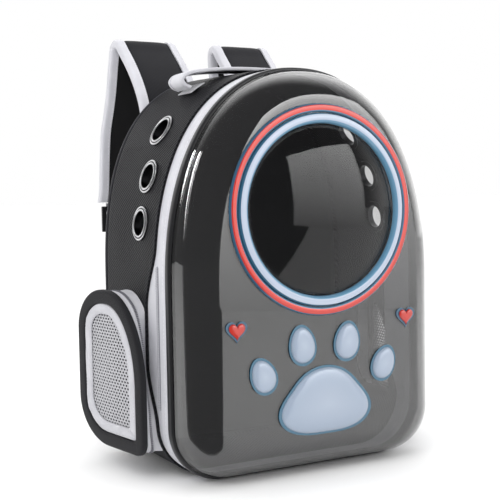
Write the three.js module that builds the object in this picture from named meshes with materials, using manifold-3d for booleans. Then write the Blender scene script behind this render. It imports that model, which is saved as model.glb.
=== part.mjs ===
// Bubble pet carrier backpack: a hollow fabric case with a clear moulded front, a domed window,
// mesh side pockets, padded shoulder straps and a top handle.
// Millimetres, +Z up, the wearer's back towards +Y, the window towards -Y.
// The origin is the centre of the flat base of the case.
import * as THREE from 'three';
import { mergeVertices } from 'three/addons/utils/BufferGeometryUtils.js';
import Module from 'manifold-3d';

const wasm = await Module();
wasm.setup();

// Overall form, seen from the front
const frontWidth = 298;
const backWidth = 300;
const frontHeight = 408;
const backHeight = 412;
const cornerRadius = 56;
const shoulderHeight = 191;
const frontArch = 2.2;
const backArch = 2.55;

// Case
const caseDepth = 155;
const caseWall = 2;
const backEdgeRadius = 12;
const backSeam = 0.5;
const pipingRadius = 1.8;
const seatGap = 0.3;

// Front zip, with the lower side stretch where its tape lies open
const stripWidth = 10;
const stripThickness = 3;
const stripInset = 1;
const stripRound = 0.6;
const tapeThickness = 1.2;
const tapeWidth = 20;
const tapeTuck = 6.5;
const openTapeWidth = 22;
const openLow = 50;
const openHigh = 232;
const openRamp = 62;
const coilWidth = 4.4;
const coilThickness = 1.6;
const coilStart = 21;
const sliderLength = 13;
const pullLength = 26;
const sliderThickness = 2;
const sliderNeck = 2.6;
const pullHalfWidth = 3.5;

// Clear front shell, dome and raised rings
const shellDepth = 52;
const shellThickness = 2;
const shellEdgeInset = 34;
const windowHeight = 264;
const windowRadius = 84;
const domeRise = 18;
const domeThickness = 2;
const ringWidth = 10.5;
const ringRise = 5;
const bandWidth = 9;
const bandRise = 3;

// Raised paw and hearts on the clear front
const pawHeight = 74;
const padWidth = 104;
const padHeight = 68;
const padRise = 6;
const padLobe = 0.1;
const innerToeWidth = 31;
const innerToeHeight = 41;
const innerToeOut = 26;
const innerToeUp = 59;
const outerToeWidth = 29;
const outerToeHeight = 38;
const outerToeOut = 70;
const outerToeUp = 33;
const toeRise = 5;
const toePoint = 0.12;
const outerToeLean = 24;
const innerToeLean = 8;
const heartWidth = 23;
const heartRise = 3.5;
const heartOut = 98;
const heartHeight = 153;
const moundShoulder = 0.45;
const moundTop = 0.82;

// Eyelets in the side walls
const eyeletHole = 25;
const eyeletFlange = 35;
const eyeletBarrel = 1.6;
const eyeletLip = 1.6;
const eyeletTop = 347;
const eyeletPitch = 47;
const eyeletCount = 3;
const eyeletForward = 18;
const topEyeletBack = 11;

// Mesh side pockets
const pocketFront = 15;
const pocketLength = 122;
const pocketLow = 26;
const pocketTall = 160;
const pocketFrontRise = 17;
const pocketBackRise = 38;
const faceThickness = 5;
const faceBand = 14;
const faceRound = 2.5;
const leastCorner = 5;
const frameWidth = 10.5;
const frameThickness = 3;
const frameProud = 0.8;
const meshThickness = 1;
const gussetWall = 2.2;
const gussetInset = 1.6;
const ventInset = 30;
const pocketCoilWidth = 4;
const pocketCoilRise = 1.4;
const pocketCoilAt = 0.5;

// Back pad
const padPanelWidth = 196;
const padPanelLow = 40;
const padPanelTall = 280;
const padPanelRadius = 42;
const padPanelThickness = 9;
const padPanelBevel = 5.4;

// Shoulder straps, with their locks and webbing
const strapSpacing = 124;
const strapWidth = 75;
const strapEndWidth = 46;
const strapThickness = 10;
const strapBinding = 9.5;
const strapRise = 53;
const strapReach = 88;
const strapSplay = 37;
const strapTaperFrom = 0.72;
const lockWidth = 38;
const lockHeight = 30;
const lockThickness = 4;
const lockSlot = 6;
const lockBar = 5;
const slotClearance = 1;
const tabLegGap = 1.25;
const webbingWidth = 25;
const webbingThickness = 1.5;
const webbingTail = 42;
const anchorOut = 125;
const anchorHeight = 58;
const anchorLength = 24;

// Top handle
const handleSpan = 190;
const handleWidth = 34;
const handleThickness = 4;
const handleBinding = 5;
const handleBack = 0;
const handleDrop = 24;
const tabUnder = 9.5;
const tabLength = 15;
const tabThickness = 1.2;

// Mesh fineness
const baseSteps = 2;
const cornerSteps = 6;
const sideSteps = 5;
const archSteps = 10;
const roundSteps = 28;
const eyeletSteps = 13;
const edgeSteps = 1;
const shellSteps = 5;
const domeSteps = 4;
const moundSteps = 16;
const pipingSides = 5;
const padPanelSteps = 5;
const coilSteps = 8;
const pocketSteps = 4;
const pocketEdgeSteps = 4;
const strapSteps = 18;
const turnSteps = 6;
const handleSteps = 22;
const tabSteps = 4;

// Planes that several pieces share
const rimY = -caseDepth / 2;
const backY = caseDepth / 2;
const shellFrontY = rimY - shellDepth;
const tapeInset = caseWall + seatGap;
const shellRimInset = stripInset + stripThickness + seatGap;
const faceSeatY = shellFrontY - seatGap;
const lipMin = tapeWidth + seatGap;
const coilY = rimY + tapeWidth - coilWidth / 2 + seatGap;
const seamGap = seatGap / (Math.PI * backEdgeRadius);

const materials = {
  coatedFabric: new THREE.MeshStandardMaterial({ color: '#2b2b2f', roughness: 0.62, metalness: 0 }),
  strapFabric: new THREE.MeshStandardMaterial({ color: '#29292d', roughness: 0.75, metalness: 0 }),
  padFabric: new THREE.MeshStandardMaterial({ color: '#242427', roughness: 0.85, metalness: 0 }),
  whiteTape: new THREE.MeshStandardMaterial({ color: '#ededf2', roughness: 0.7, metalness: 0 }),
  coil: new THREE.MeshStandardMaterial({ color: '#c9c9cf', roughness: 0.45, metalness: 0 }),
  clear: new THREE.MeshStandardMaterial({
    color: '#7d7d80', roughness: 0.06, metalness: 0, transparent: true, opacity: 0.4,
  }),
  paleRelief: new THREE.MeshStandardMaterial({ color: '#ced6e2', roughness: 0.15, metalness: 0 }),
  redRelief: new THREE.MeshStandardMaterial({ color: '#e03a2a', roughness: 0.15, metalness: 0 }),
  chrome: new THREE.MeshStandardMaterial({ color: '#c8c8cc', roughness: 0.15, metalness: 1 }),
  mesh: new THREE.MeshStandardMaterial({ color: '#9a9a9e', roughness: 0.7, metalness: 0 }),
  blackPlastic: new THREE.MeshStandardMaterial({ color: '#1b1b1d', roughness: 0.4, metalness: 0 }),
};

const bag = new THREE.Group();

function addMesh(name, geometry, material, place = {}) {
  const mesh = new THREE.Mesh(geometry, material);
  mesh.name = name;
  if (place.position) mesh.position.copy(place.position);
  if (place.quaternion) mesh.quaternion.copy(place.quaternion);
  bag.add(mesh);
  return mesh;
}

const mix = (a, b, share) => a + (b - a) * share;
const clamp01 = (value) => Math.min(1, Math.max(0, value));
const smooth = (low, high, value) => {
  const share = clamp01((value - low) / (high - low));
  return share * share * (3 - 2 * share);
};

// Outline of the bag at one depth: width, height and arch change evenly from zip to back
function sectionAt(y) {
  const share = clamp01((y - rimY) / caseDepth);
  return {
    half: mix(frontWidth, backWidth, share) / 2,
    height: mix(frontHeight, backHeight, share),
    arch: mix(frontArch, backArch, share),
  };
}

// Point and outward normal on the arch, by the share of a quarter turn from shoulder to crown
function archPoint(section, share) {
  const turn = share * Math.PI / 2;
  const rise = section.height - shoulderHeight;
  const across = Math.max(0, Math.cos(turn)) ** (2 / section.arch);
  const up = Math.sin(turn) ** (2 / section.arch);
  const normal = new THREE.Vector2(
    across ** (section.arch - 1) / section.half,
    up ** (section.arch - 1) / rise,
  ).normalize();
  return { x: section.half * across, z: shoulderHeight + rise * up, normal };
}

// Right half of the outline, from the middle of the base to the crown
function halfOutline(section) {
  const flat = section.half - cornerRadius;
  const points = [];
  for (let i = 0; i < baseSteps; i += 1) {
    points.push({ x: flat * i / baseSteps, z: 0, normal: new THREE.Vector2(0, -1) });
  }
  for (let i = 0; i < cornerSteps; i += 1) {
    const turn = Math.PI / 2 * i / cornerSteps;
    const normal = new THREE.Vector2(Math.sin(turn), -Math.cos(turn));
    points.push({ x: flat + cornerRadius * normal.x, z: cornerRadius * (1 + normal.y), normal });
  }
  for (let i = 0; i < sideSteps; i += 1) {
    const z = mix(cornerRadius, shoulderHeight, i / sideSteps);
    points.push({ x: section.half, z, normal: new THREE.Vector2(1, 0) });
  }
  for (let i = 0; i <= archSteps; i += 1) points.push(archPoint(section, i / archSteps));
  return points;
}

// One ring of points round the bag, inset from the outline; extra(z) moves a point along Y
function ring(inset, y, extra = () => 0) {
  const half = halfOutline(sectionAt(y));
  const at = (p, side) => new THREE.Vector3(
    side * (p.x - inset * p.normal.x),
    y + extra(p.z),
    p.z - inset * p.normal.y,
  );
  const right = half.map((p) => at(p, 1));
  const left = half.slice(1, -1).reverse().map((p) => at(p, -1));
  return [...right, ...left];
}

// Half width of the bag at one height and depth, measured on its outer skin
function halfWidthAt(y, z) {
  const section = sectionAt(y);
  if (z < cornerRadius) {
    const drop = (cornerRadius - z) / cornerRadius;
    return section.half - cornerRadius + cornerRadius * Math.sqrt(1 - drop * drop);
  }
  if (z <= shoulderHeight) return section.half;
  const up = clamp01((z - shoulderHeight) / (section.height - shoulderHeight));
  return section.half * (1 - up ** section.arch) ** (1 / section.arch);
}

// Height of the bag's skin at one depth and distance from the middle, measured on the arch
function skinHeightAt(y, x) {
  const section = sectionAt(y);
  const out = Math.min(1, Math.abs(x) / section.half);
  const share = (1 - out ** section.arch) ** (1 / section.arch);
  return mix(shoulderHeight, section.height, share);
}

function signedVolume(positions, indices) {
  const a = new THREE.Vector3();
  const b = new THREE.Vector3();
  const c = new THREE.Vector3();
  let sum = 0;
  for (let i = 0; i < indices.length; i += 3) {
    a.fromArray(positions, indices[i] * 3);
    b.fromArray(positions, indices[i + 1] * 3);
    c.fromArray(positions, indices[i + 2] * 3);
    sum += a.dot(b.cross(c));
  }
  return sum / 6;
}

// Closed skin through rings of equal count: ends closed by fans, or the last ring joined to the first
function skin(rings, ends = 'caps') {
  const count = rings[0].length;
  const positions = rings.flat().flatMap((p) => [p.x, p.y, p.z]);
  const indices = [];
  const bands = ends === 'loop' ? rings.length : rings.length - 1;
  for (let i = 0; i < bands; i += 1) {
    const low = i * count;
    const high = ((i + 1) % rings.length) * count;
    for (let j = 0; j < count; j += 1) {
      const next = (j + 1) % count;
      indices.push(low + j, low + next, high + j, low + next, high + next, high + j);
    }
  }
  if (ends === 'caps') {
    [[0, false], [rings.length - 1, true]].forEach(([index, forward]) => {
      const middle = new THREE.Vector3();
      rings[index].forEach((p) => middle.add(p));
      middle.divideScalar(count);
      const centre = positions.length / 3;
      positions.push(middle.x, middle.y, middle.z);
      for (let j = 0; j < count; j += 1) {
        const a = index * count + j;
        const b = index * count + ((j + 1) % count);
        indices.push(centre, forward ? a : b, forward ? b : a);
      }
    });
  }
  if (signedVolume(positions, indices) < 0) {
    for (let i = 0; i < indices.length; i += 3) {
      [indices[i], indices[i + 1]] = [indices[i + 1], indices[i]];
    }
  }
  const geometry = new THREE.BufferGeometry();
  geometry.setAttribute('position', new THREE.Float32BufferAttribute(positions, 3));
  geometry.setIndex(indices);
  return geometry;
}

function welded(geometry) {
  const copy = geometry.clone();
  copy.deleteAttribute('normal');
  copy.deleteAttribute('uv');
  return mergeVertices(copy, 1e-4);
}

function toSolid(geometry) {
  const merged = welded(geometry);
  return new wasm.Manifold(new wasm.Mesh({
    numProp: 3,
    vertProperties: new Float32Array(merged.attributes.position.array),
    triVerts: new Uint32Array(merged.index.array),
  }));
}

function fromSolid(solid) {
  const mesh = solid.getMesh();
  const geometry = new THREE.BufferGeometry();
  geometry.setAttribute('position', new THREE.BufferAttribute(new Float32Array(mesh.vertProperties), 3));
  geometry.setIndex(new THREE.BufferAttribute(new Uint32Array(mesh.triVerts), 1));
  return geometry;
}

const cut = (geometry, tools) => fromSolid(
  tools.reduce((solid, tool) => solid.subtract(toSolid(tool)), toSolid(geometry)),
);

// Flat band along a path: from and to are its edges along the across axis, by share of the path
function ribbon(points, across, from, to, thickness) {
  const last = points.length - 1;
  const edge = (value, share) => (typeof value === 'function' ? value(share) : value);
  const rings = points.map((p, i) => {
    const along = new THREE.Vector3().subVectors(points[Math.min(i + 1, last)], points[Math.max(i - 1, 0)]);
    const up = new THREE.Vector3().crossVectors(across, along).normalize().multiplyScalar(thickness / 2);
    const near = p.clone().addScaledVector(across, edge(from, i / last));
    const far = p.clone().addScaledVector(across, edge(to, i / last));
    return [near.clone().sub(up), far.clone().sub(up), far.clone().add(up), near.clone().add(up)];
  });
  return skin(rings);
}

const axisX = new THREE.Vector3(1, 0, 0);
const axisY = new THREE.Vector3(0, 1, 0);

// Front edge of the case: it draws back along the lower side so that the zip lies open
const lipExtra = (z) => {
  const opened = smooth(openLow, openLow + openRamp, z);
  const closed = smooth(openHigh - openRamp, openHigh, z);
  return openTapeWidth * opened * (1 - closed);
};

// Eyelets stand square to the side wall, in a row that follows the zip
const eyelets = [];
for (let i = 0; i < eyeletCount; i += 1) {
  const z = eyeletTop - eyeletPitch * i;
  const y = i === 0 ? topEyeletBack - eyeletForward : -eyeletForward;
  const section = sectionAt(y);
  const up = (z - shoulderHeight) / (section.height - shoulderHeight);
  const share = Math.asin(up ** (section.arch / 2)) / (Math.PI / 2);
  const point = archPoint(section, share);
  const ahead = archPoint(sectionAt(y - 1), share);
  const behind = archPoint(sectionAt(y + 1), share);
  const slope = ((behind.x - ahead.x) * point.normal.x + (behind.z - ahead.z) * point.normal.y) / 2;
  eyelets.push({ ...point, y, slope });
}

function eyeletPlace(eyelet, side) {
  const normal = new THREE.Vector3(side * eyelet.normal.x, -eyelet.slope, eyelet.normal.y).normalize();
  return {
    position: new THREE.Vector3(side * eyelet.x, eyelet.y, eyelet.z),
    quaternion: new THREE.Quaternion().setFromUnitVectors(axisY, normal),
  };
}

// Outline of a side pocket, seen from the side: each corner is a quarter ellipse
function pocketOutline(inset, side, xOf) {
  const y0 = rimY + pocketFront + inset;
  const y1 = rimY + pocketFront + pocketLength - inset;
  const z0 = pocketLow + inset;
  const z1 = pocketLow + pocketTall - inset;
  const corners = [
    { y: y0, z: z0, along: 0.12, up: 0.09, turn: 180 },
    { y: y1, z: z0, along: 0.46, up: 0.3, turn: 270 },
    { y: y1, z: z1, along: 0.4, up: 0.27, turn: 0 },
    { y: y0, z: z1, along: 0.56, up: 0.58, turn: 90 },
  ];
  const points = [];
  corners.forEach((corner) => {
    const ry = Math.max(leastCorner, corner.along * pocketLength - inset);
    const rz = Math.max(leastCorner, corner.up * pocketTall - inset);
    const cy = corner.y === y0 ? y0 + ry : y1 - ry;
    const cz = corner.z === z0 ? z0 + rz : z1 - rz;
    for (let i = 0; i <= pocketSteps; i += 1) {
      const turn = THREE.MathUtils.degToRad(corner.turn + 90 * i / pocketSteps);
      points.push([cy + ry * Math.cos(turn), cz + rz * Math.sin(turn)]);
    }
  });
  const [, frontLow] = points[0];
  const [, frontHigh] = points[points.length - 1];
  for (let i = 1; i < pocketEdgeSteps; i += 1) {
    points.push([y0, mix(frontHigh, frontLow, i / pocketEdgeSteps)]);
  }
  // The left outline is run backwards, so that solids on both sides face outwards alike
  if (side < 0) points.reverse();
  return points.map(([y, z]) => new THREE.Vector3(side * xOf(y), y, z));
}

// Outer face of a pocket leans out towards the back
const pocketFaceX = (y) => {
  const share = (y - rimY - pocketFront) / pocketLength;
  return backWidth / 2 + mix(pocketFrontRise, pocketBackRise, share);
};

// Rings along the case's rounded back edge, between two shares of its quarter turn
function edgeRings(radius, inset, y, from, to) {
  const rings = [];
  for (let i = 0; i <= edgeSteps; i += 1) {
    const turn = Math.PI / 2 * mix(from, to, i / edgeSteps);
    rings.push(ring(inset + radius * (1 - Math.cos(turn)), y - radius + radius * Math.sin(turn)));
  }
  return rings;
}

// Inner rings from the far share back to the near one, then outer rings out again
const edgeWall = (from, to, between = []) => [
  ...edgeRings(backEdgeRadius - caseWall, caseWall, backY - caseWall, to, from),
  ...between,
  ...edgeRings(backEdgeRadius, 0, backY, from, to),
];

// The side panel runs from the zip to the back seam, which lies under the piping
function addCase() {
  const shell = skin(edgeWall(0, backSeam - seamGap, [
    ring(caseWall, rimY + lipMin, lipExtra),
    ring(0, rimY + lipMin, lipExtra),
  ]), 'loop');
  const tools = [];
  [-1, 1].forEach((side) => {
    eyelets.forEach((eyelet) => {
      const hole = new THREE.CylinderGeometry(
        eyeletHole / 2 + eyeletBarrel + seatGap,
        eyeletHole / 2 + eyeletBarrel + seatGap,
        eyeletFlange,
        eyeletSteps,
      );
      const place = eyeletPlace(eyelet, side);
      hole.applyQuaternion(place.quaternion);
      hole.translate(place.position.x, place.position.y, place.position.z);
      tools.push(hole);
    });
    const reach = backWidth / 2;
    tools.push(skin([
      pocketOutline(ventInset, side, () => reach / 2),
      pocketOutline(ventInset, side, () => reach + pocketFrontRise),
    ]));
  });
  addMesh('case_shell', cut(shell, tools), materials.coatedFabric);
}

// The back panel, with its half of the rounded edge turned forward
function addCaseBack() {
  addMesh('case_back', skin(edgeWall(backSeam + seamGap, 1)), materials.coatedFabric);
}

// Cord sewn round the back edge, nested in the rounded corner
function addBackPiping() {
  const off = (backEdgeRadius + seatGap + pipingRadius) * Math.SQRT1_2;
  const inset = backEdgeRadius - off;
  const y = backY - backEdgeRadius + off;
  const rings = [];
  for (let i = 0; i < pipingSides; i += 1) {
    const turn = 2 * Math.PI * i / pipingSides;
    rings.push(ring(inset + pipingRadius * Math.cos(turn), y + pipingRadius * Math.sin(turn)));
  }
  addMesh('back_piping', skin(rings, 'loop'), materials.blackPlastic);
}

function addBackPad() {
  const outline = (inset, y) => {
    const half = padPanelWidth / 2 - inset;
    const low = padPanelLow + inset;
    const high = padPanelLow + padPanelTall - inset;
    const radius = padPanelRadius - inset;
    const points = [];
    [[1, 1, 0], [-1, 1, 90], [-1, -1, 180], [1, -1, 270]].forEach(([sideX, sideZ, start]) => {
      for (let i = 0; i <= padPanelSteps; i += 1) {
        const turn = THREE.MathUtils.degToRad(start + 90 * i / padPanelSteps);
        points.push(new THREE.Vector3(
          sideX * (half - radius) + radius * Math.cos(turn),
          y,
          (sideZ > 0 ? high - radius : low + radius) + radius * Math.sin(turn),
        ));
      }
    });
    return points;
  };
  const near = backY + seatGap;
  addMesh('back_pad', skin([
    outline(0, near),
    outline(0, near + padPanelThickness - padPanelBevel),
    outline(padPanelBevel, near + padPanelThickness),
  ]), materials.padFabric);
}

function addZip() {
  const tapeEnd = lipMin + tapeTuck;
  addMesh('zip_tape', skin([
    ring(tapeInset, rimY + seatGap),
    ring(tapeInset, rimY + tapeEnd, lipExtra),
    ring(tapeInset + tapeThickness, rimY + tapeEnd, lipExtra),
    ring(tapeInset + tapeThickness, rimY + seatGap),
  ], 'loop'), materials.whiteTape);

  const coilInset = tapeInset - seatGap - coilThickness / 2;
  [[-1, 'left'], [1, 'right']].forEach(([side, word]) => {
    const points = [];
    for (let i = 0; i <= coilSteps; i += 1) {
      const z = mix(openLow + coilStart, openHigh - coilStart, i / coilSteps);
      points.push(new THREE.Vector3(side * (halfWidthAt(coilY, z) - coilInset), coilY, z));
    }
    const coil = ribbon(points, axisY, -coilWidth / 2, coilWidth / 2, coilThickness);
    addMesh(`zip_coil_${word}`, coil, materials.coil);
  });
}

// Slider and its pull as one plain piece, on the side that is hidden
function addSlider() {
  const top = openHigh - openRamp;
  const shape = new THREE.Shape();
  shape.moveTo(-coilWidth, 0);
  shape.lineTo(-sliderNeck, -sliderLength);
  shape.lineTo(-pullHalfWidth, -sliderLength - pullLength);
  shape.lineTo(pullHalfWidth, -sliderLength - pullLength);
  shape.lineTo(sliderNeck, -sliderLength);
  shape.lineTo(coilWidth, 0);
  shape.closePath();
  const geometry = new THREE.ExtrudeGeometry(shape, { depth: sliderThickness, bevelEnabled: false });
  geometry.rotateX(Math.PI / 2);
  geometry.rotateZ(Math.PI / 2);
  const x = halfWidthAt(rimY, top) - tapeInset + seatGap + coilThickness + seatGap;
  addMesh('zip_slider', geometry, materials.chrome, { position: new THREE.Vector3(x, coilY, top) });
}

function addRimPiping() {
  const near = rimY - seatGap;
  const far = rimY - stripWidth;
  addMesh('rim_piping', skin([
    ring(stripInset + stripThickness, near),
    ring(stripInset + stripRound, near),
    ring(stripInset, mix(near, far, 0.5)),
    ring(stripInset + stripRound, far),
    ring(stripInset + stripThickness, far),
  ], 'loop'), materials.coatedFabric);
}

// Clear front: a deep tray with a quarter-ellipse edge, its window cut through
function addClearShell() {
  const shoulder = rimY - stripWidth;
  const deep = shellDepth - stripWidth;
  const wide = shellEdgeInset - (shellRimInset - stripInset - stripThickness);
  const wall = (off) => {
    const rings = [ring(shellRimInset + off, rimY - 2 * seatGap)];
    for (let i = 0; i <= shellSteps; i += 1) {
      const turn = Math.PI / 2 * i / shellSteps;
      const inset = shellRimInset + wide - (wide - off) * Math.cos(turn);
      rings.push(ring(inset, shoulder - (deep - off) * Math.sin(turn)));
    }
    return rings;
  };
  const solid = skin([...wall(shellThickness).reverse(), ...wall(0)]);
  const hole = new THREE.CylinderGeometry(windowRadius, windowRadius, shellDepth, roundSteps);
  hole.translate(0, shellFrontY, windowHeight);
  addMesh('clear_shell', cut(solid, [hole]), materials.clear);
}

// Turned ring that faces -Y: profile pairs are radius and height off the clear front
function turned(profile, steps) {
  const points = profile.map(([radius, height]) => new THREE.Vector2(radius, height));
  const geometry = welded(new THREE.LatheGeometry(points, steps));
  const { array } = geometry.attributes.position;
  const indices = Array.from(geometry.index.array);
  if (signedVolume(Array.from(array), indices) < 0) {
    for (let i = 0; i < indices.length; i += 3) [indices[i], indices[i + 1]] = [indices[i + 1], indices[i]];
    geometry.setIndex(indices);
  }
  return geometry;
}

const facingFront = new THREE.Quaternion().setFromUnitVectors(axisY, new THREE.Vector3(0, -1, 0));

function addWindow() {
  const place = { position: new THREE.Vector3(0, faceSeatY, windowHeight), quaternion: facingFront };
  const domeRadius = windowRadius - seatGap;
  const sphere = (domeRadius * domeRadius + domeRise * domeRise) / (2 * domeRise);
  const opening = Math.asin(domeRadius / sphere);
  const cap = (radius) => {
    const points = [];
    for (let i = 0; i <= domeSteps; i += 1) {
      const turn = opening * i / domeSteps;
      points.push([radius * Math.sin(turn), radius * Math.cos(turn) - sphere + domeRise]);
    }
    return points;
  };
  const outer = cap(sphere);
  const inner = cap(sphere - domeThickness).reverse();
  const dome = turned([...outer, [domeRadius, -domeThickness], ...inner], roundSteps);
  addMesh('window_dome', dome, materials.clear, place);

  const band = (from, width, rise) => [
    [from, 0], [from + width, 0], [from + width, rise / 2], [from + width / 2, rise],
    [from, rise / 2], [from, 0],
  ];
  const paleRing = turned(band(windowRadius, ringWidth, ringRise), roundSteps);
  addMesh('window_ring', paleRing, materials.paleRelief, place);
  const bandInner = windowRadius + ringWidth + seatGap;
  const redRing = turned(band(bandInner, bandWidth, bandRise), roundSteps);
  addMesh('accent_ring', redRing, materials.redRelief, place);
}

// Low mound on the clear front: outline(turn) gives its edge, and it rises in two steps
function mound(outline, rise) {
  const level = (scale, height) => {
    const points = [];
    for (let i = 0; i < moundSteps; i += 1) {
      const p = outline(2 * Math.PI * i / moundSteps);
      points.push(new THREE.Vector3(p.x * scale, -height, p.y * scale));
    }
    return points;
  };
  return skin([level(1, 0), level(1, rise * moundShoulder), level(moundTop, rise)]);
}

const oval = (width, height, point) => (turn) => {
  const narrow = 1 - point * Math.sin(turn);
  return new THREE.Vector2(width / 2 * Math.cos(turn) * narrow, height / 2 * Math.sin(turn));
};

// Three-lobed pad: a circle whose radius swells three times a turn
const threeLobed = (width, height) => (turn) => {
  const radius = 1 + padLobe * Math.cos(3 * (turn - Math.PI / 2));
  return new THREE.Vector2(width / 2 * radius * Math.cos(turn), height / 2 * radius * Math.sin(turn));
};

function addPaw() {
  const place = (x, z, lean) => ({
    position: new THREE.Vector3(x, faceSeatY, z),
    quaternion: new THREE.Quaternion().setFromAxisAngle(axisY, THREE.MathUtils.degToRad(lean)),
  });
  const pad = mound(threeLobed(padWidth, padHeight), padRise);
  addMesh('paw_pad', pad, materials.paleRelief, place(0, pawHeight, 0));
  const outerToe = {
    out: outerToeOut, up: outerToeUp, width: outerToeWidth, height: outerToeHeight, lean: outerToeLean,
  };
  const innerToe = {
    out: innerToeOut, up: innerToeUp, width: innerToeWidth, height: innerToeHeight, lean: innerToeLean,
  };
  [[-1, outerToe], [-1, innerToe], [1, innerToe], [1, outerToe]].forEach(([side, toe], i) => addMesh(
    `paw_toe_${i + 1}`,
    mound(oval(toe.width, toe.height, toePoint), toeRise),
    materials.paleRelief,
    place(side * toe.out, pawHeight + toe.up, side * toe.lean),
  ));
  // The usual heart curve, which is 32 units wide
  const unit = heartWidth / 32;
  const heart = (turn) => {
    const wide = 16 * Math.sin(turn) ** 3;
    const high = 13 * Math.cos(turn) - 5 * Math.cos(2 * turn) - 2 * Math.cos(3 * turn) - Math.cos(4 * turn);
    return new THREE.Vector2(unit * wide, unit * high);
  };
  [[-1, 'left'], [1, 'right']].forEach(([side, word]) => {
    const at = place(side * heartOut, heartHeight, 0);
    addMesh(`heart_${word}`, mound(heart, heartRise), materials.redRelief, at);
  });
}

// How far the arched skin falls away below an eyelet's flat flange
function skinFall(eyelet) {
  const reach = eyeletFlange / 2;
  const falls = [-1, 1].map((way) => {
    const z = eyelet.z + way * reach * eyelet.normal.x;
    const x = halfWidthAt(eyelet.y, z);
    return (eyelet.x - x) * eyelet.normal.x + (eyelet.z - z) * eyelet.normal.y;
  });
  return Math.max(...falls);
}

function addEyelets() {
  const hole = eyeletHole / 2;
  const barrel = hole + eyeletBarrel;
  const flange = eyeletFlange / 2;
  const fall = Math.max(...eyelets.map(skinFall));
  const inside = -caseWall - 2 * seatGap - fall;
  const profile = [
    [hole, inside - eyeletLip], [flange, inside - eyeletLip], [flange, inside], [barrel, inside],
    [barrel, seatGap], [flange, seatGap], [(hole + flange) / 2, seatGap + eyeletLip],
    [hole, seatGap], [hole, inside - eyeletLip],
  ];
  const geometry = turned(profile, eyeletSteps);
  [[-1, 'left'], [1, 'right']].forEach(([side, word]) => {
    eyelets.forEach((eyelet, i) => {
      addMesh(`eyelet_${word}_${i + 1}`, geometry.clone(), materials.chrome, eyeletPlace(eyelet, side));
    });
  });
}

function addPocket(side, word) {
  const at = (off) => (y) => pocketFaceX(y) - off;
  const out = (inset, off) => pocketOutline(inset, side, at(off));
  addMesh(`pocket_face_${word}`, skin([
    out(0, faceThickness), out(0, faceRound), out(faceRound, 0),
    out(faceBand, 0), out(faceBand, faceThickness),
  ], 'loop'), materials.coatedFabric);

  const frameIn = faceBand + seatGap;
  const frameOut = frameIn + frameWidth;
  addMesh(`pocket_frame_${word}`, skin([
    out(frameIn, frameThickness - frameProud), out(frameIn, -frameProud),
    out(frameOut, -frameProud), out(frameOut, frameThickness - frameProud),
  ], 'loop'), materials.whiteTape);

  const meshNear = frameThickness - frameProud + seatGap;
  addMesh(`pocket_mesh_${word}`, skin([
    out(faceBand + 2 * seatGap, meshNear + meshThickness), out(faceBand + 2 * seatGap, meshNear),
  ]), materials.mesh);

  // The gusset stands on the side wall, behind the open stretch of the zip
  const wall = (inset) => {
    const far = pocketOutline(inset, side, at(faceThickness + seatGap));
    const near = far.map((p) => {
      const y = Math.max(p.y, rimY + lipMin + lipExtra(p.z) + 2 * seatGap + inset);
      return new THREE.Vector3(side * (halfWidthAt(y, p.z) + 2 * seatGap), y, p.z);
    });
    return { near, far };
  };
  const lift = (share, rise) => {
    const off = wall(gussetInset - rise);
    return off.near.map((p, i) => p.clone().lerp(off.far[i], share));
  };
  const inner = wall(gussetInset + gussetWall);
  const coilLow = pocketCoilAt;
  const coilHigh = coilLow + pocketCoilWidth / pocketBackRise;
  addMesh(`pocket_gusset_${word}`, skin([
    lift(0, 0), lift(coilLow, 0), lift(coilHigh, 0), lift(1, 0), inner.far, inner.near,
  ], 'loop'), materials.whiteTape);

  // Zip coil along the middle of the gusset
  const top = seatGap + pocketCoilRise;
  addMesh(`pocket_coil_${word}`, skin([
    lift(coilLow, seatGap), lift(coilHigh, seatGap), lift(coilHigh, top), lift(coilLow, top),
  ], 'loop'), materials.coil);
}

// Route of a strap: shares of its height, of its reach behind the back and of its splay
const strapRoute = [
  { height: 0.745, back: 0.002, splay: 0 },
  { height: 0.785, back: 0.008, splay: 0 },
  { height: 0.822, back: 0.055, splay: 0 },
  { height: 0.868, back: 0.19, splay: 0 },
  { height: 0.92, back: 0.42, splay: 0 },
  { height: 0.968, back: 0.68, splay: 0.02 },
  { height: 0.996, back: 0.85, splay: 0.04 },
  { height: 0.99, back: 0.96, splay: 0.06 },
  { height: 0.95, back: 1, splay: 0.1 },
  { height: 0.86, back: 1.01, splay: 0.22 },
  { height: 0.75, back: 1.01, splay: 0.48 },
  { height: 0.66, back: 0.995, splay: 0.8 },
  { height: 0.595, back: 0.97, splay: 1 },
];

function strapPath(side) {
  const top = backHeight + strapRise;
  const seat = backY + seatGap + strapThickness / 2;
  const curve = new THREE.CatmullRomCurve3(strapRoute.map((row) => new THREE.Vector3(
    side * (strapSpacing / 2 + strapSplay * row.splay),
    seat + strapReach * row.back,
    (top - strapThickness / 2) * row.height,
  )), false, 'centripetal');
  return curve.getSpacedPoints(strapSteps);
}

const strapHalf = (share) => mix(strapWidth, strapEndWidth, smooth(strapTaperFrom, 1, share)) / 2;

// Half turn of a band round a bar, in the plane across the lock
function turnRound(centreZ, radiusY, radiusZ, direction) {
  const points = [];
  for (let i = 0; i <= turnSteps; i += 1) {
    const turn = Math.PI * i / turnSteps;
    points.push([radiusY * Math.cos(turn), centreZ + direction * radiusZ * Math.sin(turn)]);
  }
  return points;
}

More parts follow.
